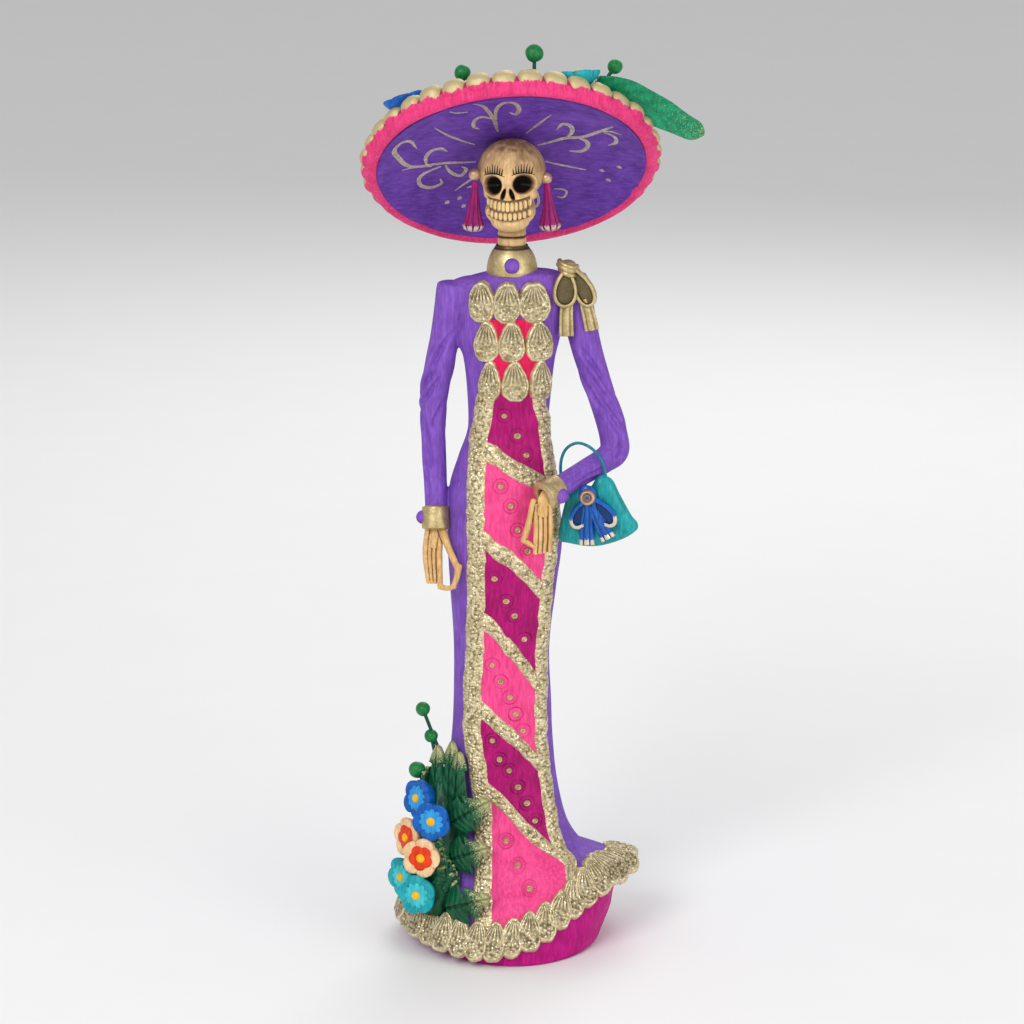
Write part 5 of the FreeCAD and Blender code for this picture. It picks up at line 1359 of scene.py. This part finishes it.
# ---------------------------------------------------------------- bows and purse
def strap_loop(top, bottom, half_w, band, depth, normal):
    """A ribbon loop: a band that leaves the knot, turns at the bottom and comes back; its inside gets
    painted shade and a dark disc behind it is a painted shadow in the opening.
    """
    top, bottom, normal = (np.array(q, float) for q in (top, bottom, normal))
    length = np.linalg.norm(bottom - top)
    along = (bottom - top) / length
    side = unit(np.cross(along, normal))
    t = circle(60)
    x = half_w * np.sin(t) * np.sin(t / 2) ** 0.8
    y = length * (0.5 - 0.5 * np.cos(t))
    line = top + along * y[:, None] + side * x[:, None]
    way = unit(np.roll(line, -1, 0) - np.roll(line, 1, 0))
    out = unit(np.cross(way, normal))
    m = 24
    a = circle(m)
    section_x = band * 0.5 * bent(np.cos(a), 0.8)
    section_y = depth * 0.5 * bent(np.sin(a), 0.55)
    v = line[:, None, :] + out[:, None, :] * section_x[None, :, None] + unit(normal) * section_y[None, :,
        None]
    # painted shade on the band's inner face
    inner = np.sign(((line - (top + bottom) / 2) * out).sum(1))[:, None] * np.cos(a) < -0.35
    shape = Shape(v, grid_faces(60, m, True, True)[:, ::-1], share=np.repeat(y / length, m),
                  deep=0.8 * inner)
    # a flat disc at the back of the loop, dark all over: a painted shadow filling the loop's opening
    back = line + unit(normal) * depth * 0.12
    disc = np.vstack([back, [back.mean(0)]])
    return shape + Shape(disc, [(k, (k + 1) % 60, 60) for k in range(60)], deep=0.8, share=0.3)


def strap_tail(points, widths, thick, normal, grooves=4):
    """A hanging ribbon end with lengthwise folds, with painted shade in their grooves."""
    rows = smooth_line([(*p, w) for p, w in zip(points, widths)], 40)
    normal = unit(np.array(normal, float))
    way = unit(np.gradient(rows[:, :3], axis=0))
    side = unit(np.cross(way, normal))
    m = 64
    a = circle(m)
    x, y = np.cos(a), np.sin(a)
    x = bent(x, 0.8)
    fold = 0.32 * np.cos(x * grooves * math.pi) * np.abs(y) ** 0.3
    v = rows[:, None, :3] + side[:, None, :] * (rows[:, 3:] * x)[...,
                                                                 None] + normal * ((y * (thick * 0.5)
                                                                     + np.sign(y) * fold * thick
                                                                         * 0.4))[None, :, None]
    share = np.repeat(np.linspace(0, 1, len(rows)), m)
    # painted shade in the fold grooves
    dark = np.tile(clamp(-np.cos(x * grooves * math.pi) - 0.45) * 1.2, len(rows))
    return Shape(v, capped_faces(len(rows), m), share=share, deep=np.clip(dark, 0, 0.8))


def shoulder_bow():
    knot = ball((27.6, -6.2, 301.2), (4.0, 3.9, 3.6), 3, 0.06, 3, 2)
    wraps = [tube(smooth_line([(23.9 + dx, -5.6, 302.6 - dz), (25.6 + dx, -9.3, 301.6 - dz),
                               (29.0, -9.7, 300.4 - dz), (31.6, -6.2, 300.2 - dz)], 24), wide, 14,
                  side=(0, 0, 1)) for dx, dz, wide in ((0, 0, 1.35), (0.4, 2.0, 1.1), (0.2, -1.5, 1.1))]
    piece("shoulder_knot", knot + total(wraps), GOLD_SMOOTH, "figure", ["shoulder_bow_knot"])
    loops = [strap_loop((27.0, -7.4, 300.8), (26.2, -9.0, 285.4), 5.4, 2.0, 5.0, (0, -1, 0.06)),
             strap_loop((30.2, -7.0, 300.8), (37.4, -8.0, 285.6), 4.4, 2.0, 5.0, (-0.1, -1, 0.06))]
    piece("shoulder_loops", total(loops), GOLD_SMOOTH, "figure", ["shoulder_bow_loops"])
    tails = [strap_tail([(27.2, -8.0, 287), (27.0, -8.9, 280), (27.1, -8.9, 272.2)], [2.7, 3.0, 3.2], 1.9,
                        (0, -1, 0.05), 2), strap_tail([(34.8, -7.4, 288), (36.6, -8.5, 281),
                                                       (38.0, -8.5, 274.6)], [2.6, 2.9, 3.1], 1.9,
                                                      (0, -1, 0.05), 2)]
    piece("shoulder_tails", total(tails), GOLD_SMOOTH, "figure", ["shoulder_bow_tails"])


PURSE_Y, PURSE_HALF_T = -13.9, 5.2
PURSE_OUTLINE = [(24, 184.9), (28.8, 182.6), (40, 181.6), (50.6, 184.6), (57.3, 188.8), (58, 192.1),
                 (55.2, 195.7), (50.2, 204.8), (47, 211),
                 (42.6, 212.8), (39.9, 211.2), (37.6, 207.6), (35.3, 208.9), (32, 209), (28.6, 206),
                 (25.8, 196.5)]
PURSE_PIVOT = Matrix.Translation((34.4, PURSE_Y + 0.5, 0))
PURSE_TURN = PURSE_PIVOT @ Matrix.Rotation(math.radians(-6), 4, "Z") @ PURSE_PIVOT.inverted()


def purse():
    outline = round_profile(PURSE_OUTLINE, 140)
    mid = np.array([39.6, 195.0])
    rows = []
    for t in np.linspace(-1, 1, 41):
        share = (1 - abs(t) ** 2.4) ** (1 / 2.4) if abs(t) < 1 else 0.0
        share = 0.02 + 0.98 * share
        p = mid + (outline - mid) * share
        y = PURSE_Y + PURSE_HALF_T * 0.98 * t * (0.55 + 0.45 * share if abs(t) < 1 else 0.55)
        rows.append(xyz(p[:, 0], y, p[:, 1]))
    v = np.stack(rows)
    valley = bell(v[..., 0], 37.6 - (207 - v[..., 2]) * 0.04, 2.2) * clamp((v[..., 2] - 190) / 16)
    v[..., 1] = PURSE_Y + (v[..., 1] - PURSE_Y) * (1 - 0.40 * valley)
    v[..., 1] += 0.25 * noise(v, 7, 2) * np.sign(v[..., 1] - PURSE_Y)
    # painted shade in the valley between the bag's two lobes
    bag = Shape(v, capped_faces(*v.shape[:2]), deep=np.clip(valley * 0.55, 0, 0.6))
    piece("purse_pouch", bag.moved(PURSE_TURN), TEAL, "purse", ["purse_bag"])
    line = smooth_line([(28.6, -11.6, 202.5), (25.5, -10.6, 209), (24.9, -10.2, 217), (27, -10.4, 223.2),
                        (31.8, -11.4, 226.2), (37.4, -12.8, 224.6), (42, -13.8, 219.6), (44, -13.8, 212.6),
                        (44.4, -13.3, 205.5)], 90)
    piece("purse_wire", tube(line, 0.66, 16, side=(0, 1, 0)), TEAL_WIRE, "purse", ["purse_handle"])
    front_y = PURSE_Y - PURSE_HALF_T
    rings = lathe(round_profile([(0.3, 0.6), (1.0, 0.9), (1.3, 0.45), (1.7, 0.5), (2.2, 1.2), (3.0, 0.9),
                                 (3.2, -0.6), (0.3, -0.6)], 40), 60, 0.08, 1)
    # painted shade in the groove of the brooch's rings
    rings.values["deep"] = 0.9 * bell(np.hypot(rings.v[:, 0], rings.v[:, 1]), 1.45, 0.25)
    bead = ball((0, 0, 0.8), (0.9, 0.9, 0.7), 2)
    brooch = rings.moved(frame_matrix((36.9, front_y - 2.2, 204.6), (0, -1, 0.1), (0, 0, -1)))
    piece("purse_brooch_disc", brooch.moved(PURSE_TURN), COPPER, "purse", ["purse_brooch"])
    bead = bead.moved(frame_matrix((36.9, front_y - 2.3, 204.6), (0, -1, 0.1), (0, 0, -1)))
    y = front_y - 0.3
    fold = ball((36.9, y - 0.2, 205.4), (4.0, 1.5, 4.4), 3, 0.05, 3, 1)
    loops = [strap_loop((36.0, y - 0.3, 202.6), (31.8, y - 0.3, 191.6), 3.7, 2.3, 3.0, (0, -1, 0)),
             strap_loop((39.4, y - 0.3, 203.6), (47.8, y - 0.3, 193.0), 3.6, 2.3, 3.0, (0, -1, 0))]
    for s in loops:
        s.values["tip"] = np.clip((s.values["share"] - 0.74) * 6, 0, 0.95) * (s.values["deep"] < 0.4)
    piece("purse_bow_bands", (total(loops) + fold + bead).moved(PURSE_TURN), BLUE_BOW, "purse",
          ["purse_bow_loops"])
    tails = [strap_tail([(37.0, y - 0.5, 201), (36.6, y - 0.7, 192), (36.7, y - 0.6, 183.6)],
                        [2.0, 2.9, 3.4], 2.2, (0, -1, 0.05), 2.5),
             strap_tail([(39.0, y - 0.5, 200), (42.4, y - 0.7, 193), (46.0, y - 0.6, 186.4)],
                        [1.8, 2.8, 3.4], 2.2, (0, -1, 0.05), 2.5)]
    for s in tails:
        s.values["tip"] = np.clip((s.values["share"] - 0.80) * 8, 0, 0.95) * (s.values["deep"] < 0.35)
    piece("purse_bow_ends", total(tails).moved(PURSE_TURN), BLUE_BOW, "purse", ["purse_bow_tails"])


# ---------------------------------------------------------------- flowers at the foot
FOOT_FLOWERS = [
    ((-37.4, -18, 68.6), (-0.75, -0.62, 0.2)), ((-31.0, -29.5, 61.8), (-0.35, -0.92, 0.15)),
    ((-42.0, -21, 51.6), (-0.8, -0.6, 0.1)), ((-35.5, -34.0, 46.8), (-0.35, -0.93, 0.1)),
    ((-44.2, -25, 34.8), (-0.75, -0.66, 0.05)), ((-37.4, -38.6, 31.4), (-0.4, -0.91, 0.05)),
]


SIDE_LEAVES = [((-22, -24, 60), (-5.4, -28.6, 71.2)), ((-22, -27, 44), (-6.2, -31.8, 51)),
               ((-24, -34, 24), (-5.2, -41.6, 31.4))]
TALL_LEAVES = [((-29, -16, 46), (-28.4, -11.6, 91.0)), ((-23.2, -20, 46), (-22.2, -14.1, 93.6)),
               ((-20.5, -19.8, 46), (-19.0, -18.0, 90.0))]
BED = [(19, -29, -22, 9, 11), (24, -30, -23, 11, 13), (38, -29, -20.5, 11, 13), (54, -27, -17, 9.5, 12),
       (68, -26.5, -13, 7.5, 9), (76, -27, -11.5, 4.5, 6)]           # z, centre x and y, half sizes


def foot_flowers():
    made = [flower(p, f, seed=k, daisy=(5 if k in (2, 3) else 11)) for k, (p, f) in enumerate(FOOT_FLOWERS)]
    kinds = (("blue", BLUE, "sky", "sky_blue", SKY, "sky_paint"),
             ("cream", CREAM, "orange", "orange", ORANGE, "orange_paint"),
             ("turquoise", TURQUOISE, "aqua", "aqua", AQUA, "turquoise_paint"))
    for k, (cup, cup_paint, daisy, face, face_paint, slot) in enumerate(kinds):
        one, two = made[2 * k:2 * k + 2]
        piece(cup + "_cups", one[0] + two[0], cup_paint, "figure", [cup + "_flower_cups"])
        piece(daisy + "_daisies", one[1] + two[1], face_paint, "figure", [face + "_flower_faces"])
    piece("flower_buttons", total(m[2] for m in made), YELLOW, "figure", ["flower_centres"])


def bouquet():
    foot_flowers()
    blades = [leaf_shape(a, b, 8.4, 2.2, (-0.35, -0.93, 0.1), 1.6, 0.5, k, 0.35, jag=0.5)
              for k, (a, b) in enumerate(SIDE_LEAVES)]
    piece("side_leaf_blades", total(blades), LEAF, "figure", ["side_leaves"])
    blades = [leaf_shape(a, b, 6.0, 2.4, (-0.45, -0.88, 0.1), 1.6, 0.9, k + 5, 0.72, pinch=2.6, jag=0.35)
              for k, (a, b) in enumerate(TALL_LEAVES)]
    piece("tall_leaf_blades", total(blades), LEAF, "figure", ["tall_leaves"])
    r = np.random.default_rng(4)
    bed = []
    for k in range(52):
        z = 19 + 48 * ((k * 0.618) % 1)
        angle = math.radians(150 + 190 * ((k * 0.382) % 1))
        wide = np.interp(z, [18, 40, 76], [11.5, 11.0, 5.5])
        c = np.array([np.interp(z, [18, 76], [-30, -26.5]), np.interp(z, [18, 76], [-23, -11.5]), z])
        out = np.array([math.cos(angle), math.sin(angle), 0])
        base = c + out * (wide - 4.0)
        tip = c + out * (wide - 0.4) + [0, 0,
                                        12 + 4 * r.random()] + unit(np.cross(out, [0, 0, 1])) * (8
                                            * r.random() - 4)
        bed.append(leaf_shape(base, tip, 5.4, 1.8, out, 1.2, 0.5, k, 0.85, pinch=2.0, jag=0.3))
    zs = np.linspace(19, 76, 40)
    columns = np.array(BED).T
    table = np.stack([np.interp(zs, columns[0], c) for c in columns[1:]], -1)
    a = circle(72)
    v = xyz(table[:, :1] + table[:, 2:3] * 0.86 * np.cos(a),
            table[:, 1:2] + table[:, 3:4] * 0.86 * np.sin(a), zs[:, None])
    lump = cobbles(np.arctan2(np.sin(a), np.cos(a))[None, :] * 11 + 0 * v[..., 2], v[..., 2], 4.5, 3)
    out = xyz(np.cos(a), np.sin(a), 0)
    v = v + out * (0.9 * lump[..., None] - 0.7)
    # painted shade between the lumps of the leaf bed
    bed.append(Shape(v, capped_faces(40, 72), deep=np.clip(0.9 - lump, 0, 0.8)))
    piece("foliage", total(bed), LEAF, "figure", ["leafy_bed"])
    stems("foot_stem", "figure", 40)


# ---------------------------------------------------------------- stage
LIGHTS = [("key", (-0.75, -1.5, 1.35), 0.9, 19), ("fill", (1.2, -1.3, 0.6), 1.2, 9),
          ("back", (0.3, 1.3, 1.2), 1.0, 8)]
LIGHT_AIM, WORLD_STRENGTH = (0, 0, 0.2), 0.56
CAMERA_AIM, CAMERA_PITCH, CAMERA_FAR, CAMERA_LENS = (0.004, 0, 0.193), 14.0, 1.450, 117.7


def aimed(name, data, place, aim):
    obj = bpy.data.objects.new(name, data)
    obj.location = place
    obj.rotation_euler = (Vector(aim) - Vector(place)).to_track_quat("-Z", "Y").to_euler()
    bpy.context.scene.collection.objects.link(obj)
    return obj


def stage():
    for name, material in (("base_board", BOARD), ("spine_rod", BOARD), ("neck_socket", BOARD),
                           ("arm_wires", STEM_GREEN)):
        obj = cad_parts[name]
        obj.data.materials.clear()
        obj.data.materials.append(material)
    t = Tree("floor_paper")
    tone = t.mix(t.noise(60.0), (0.90, 0.90, 0.905), (0.875, 0.875, 0.88))
    paper = t.finish(tone, 0.85)
    bpy.ops.mesh.primitive_plane_add(size=14, location=(0, 2, -0.0002))
    floor = bpy.context.object
    floor.name = "floor"
    floor.data.materials.append(paper)
    world = bpy.data.worlds.new("studio")
    bpy.context.scene.world = world
    world.use_nodes = True
    world.node_tree.nodes["Background"].inputs[0].default_value = (1, 1, 1, 1)
    world.node_tree.nodes["Background"].inputs[1].default_value = WORLD_STRENGTH
    for name, place, size, power in LIGHTS:
        light = bpy.data.lights.new(name, "AREA")
        light.size, light.energy = size, power
        aimed(name, light, place, LIGHT_AIM)
    scene = bpy.context.scene
    scene.view_settings.view_transform = "Standard"
    scene.view_settings.look = "None"
    camera = bpy.data.cameras.new("camera")
    camera.sensor_width, camera.lens = 36, CAMERA_LENS
    camera.clip_start, camera.clip_end = 0.05, 60
    pitch = math.radians(CAMERA_PITCH)
    place = Vector(CAMERA_AIM) + CAMERA_FAR * Vector((0, -math.cos(pitch), math.sin(pitch)))
    scene.camera = aimed("camera", camera, place, CAMERA_AIM)


stage()
gown()
underskirt()
panels()
studs()
upright_braid("braid_left_relief", left_at, BRAID_LEFT_W, 16.5, BRAID_TOP, 5, "braid_left")
upright_braid("braid_right_relief", right_at, BRAID_RIGHT_W, 31.0, BRAID_TOP, 25, "braid_right")
diagonal_braids()
petals()
collar()
cuffs()
hands()
skull()
neck()
earrings()
hat()
hat_trim()
shoulder_bow()
purse()
bouquet()
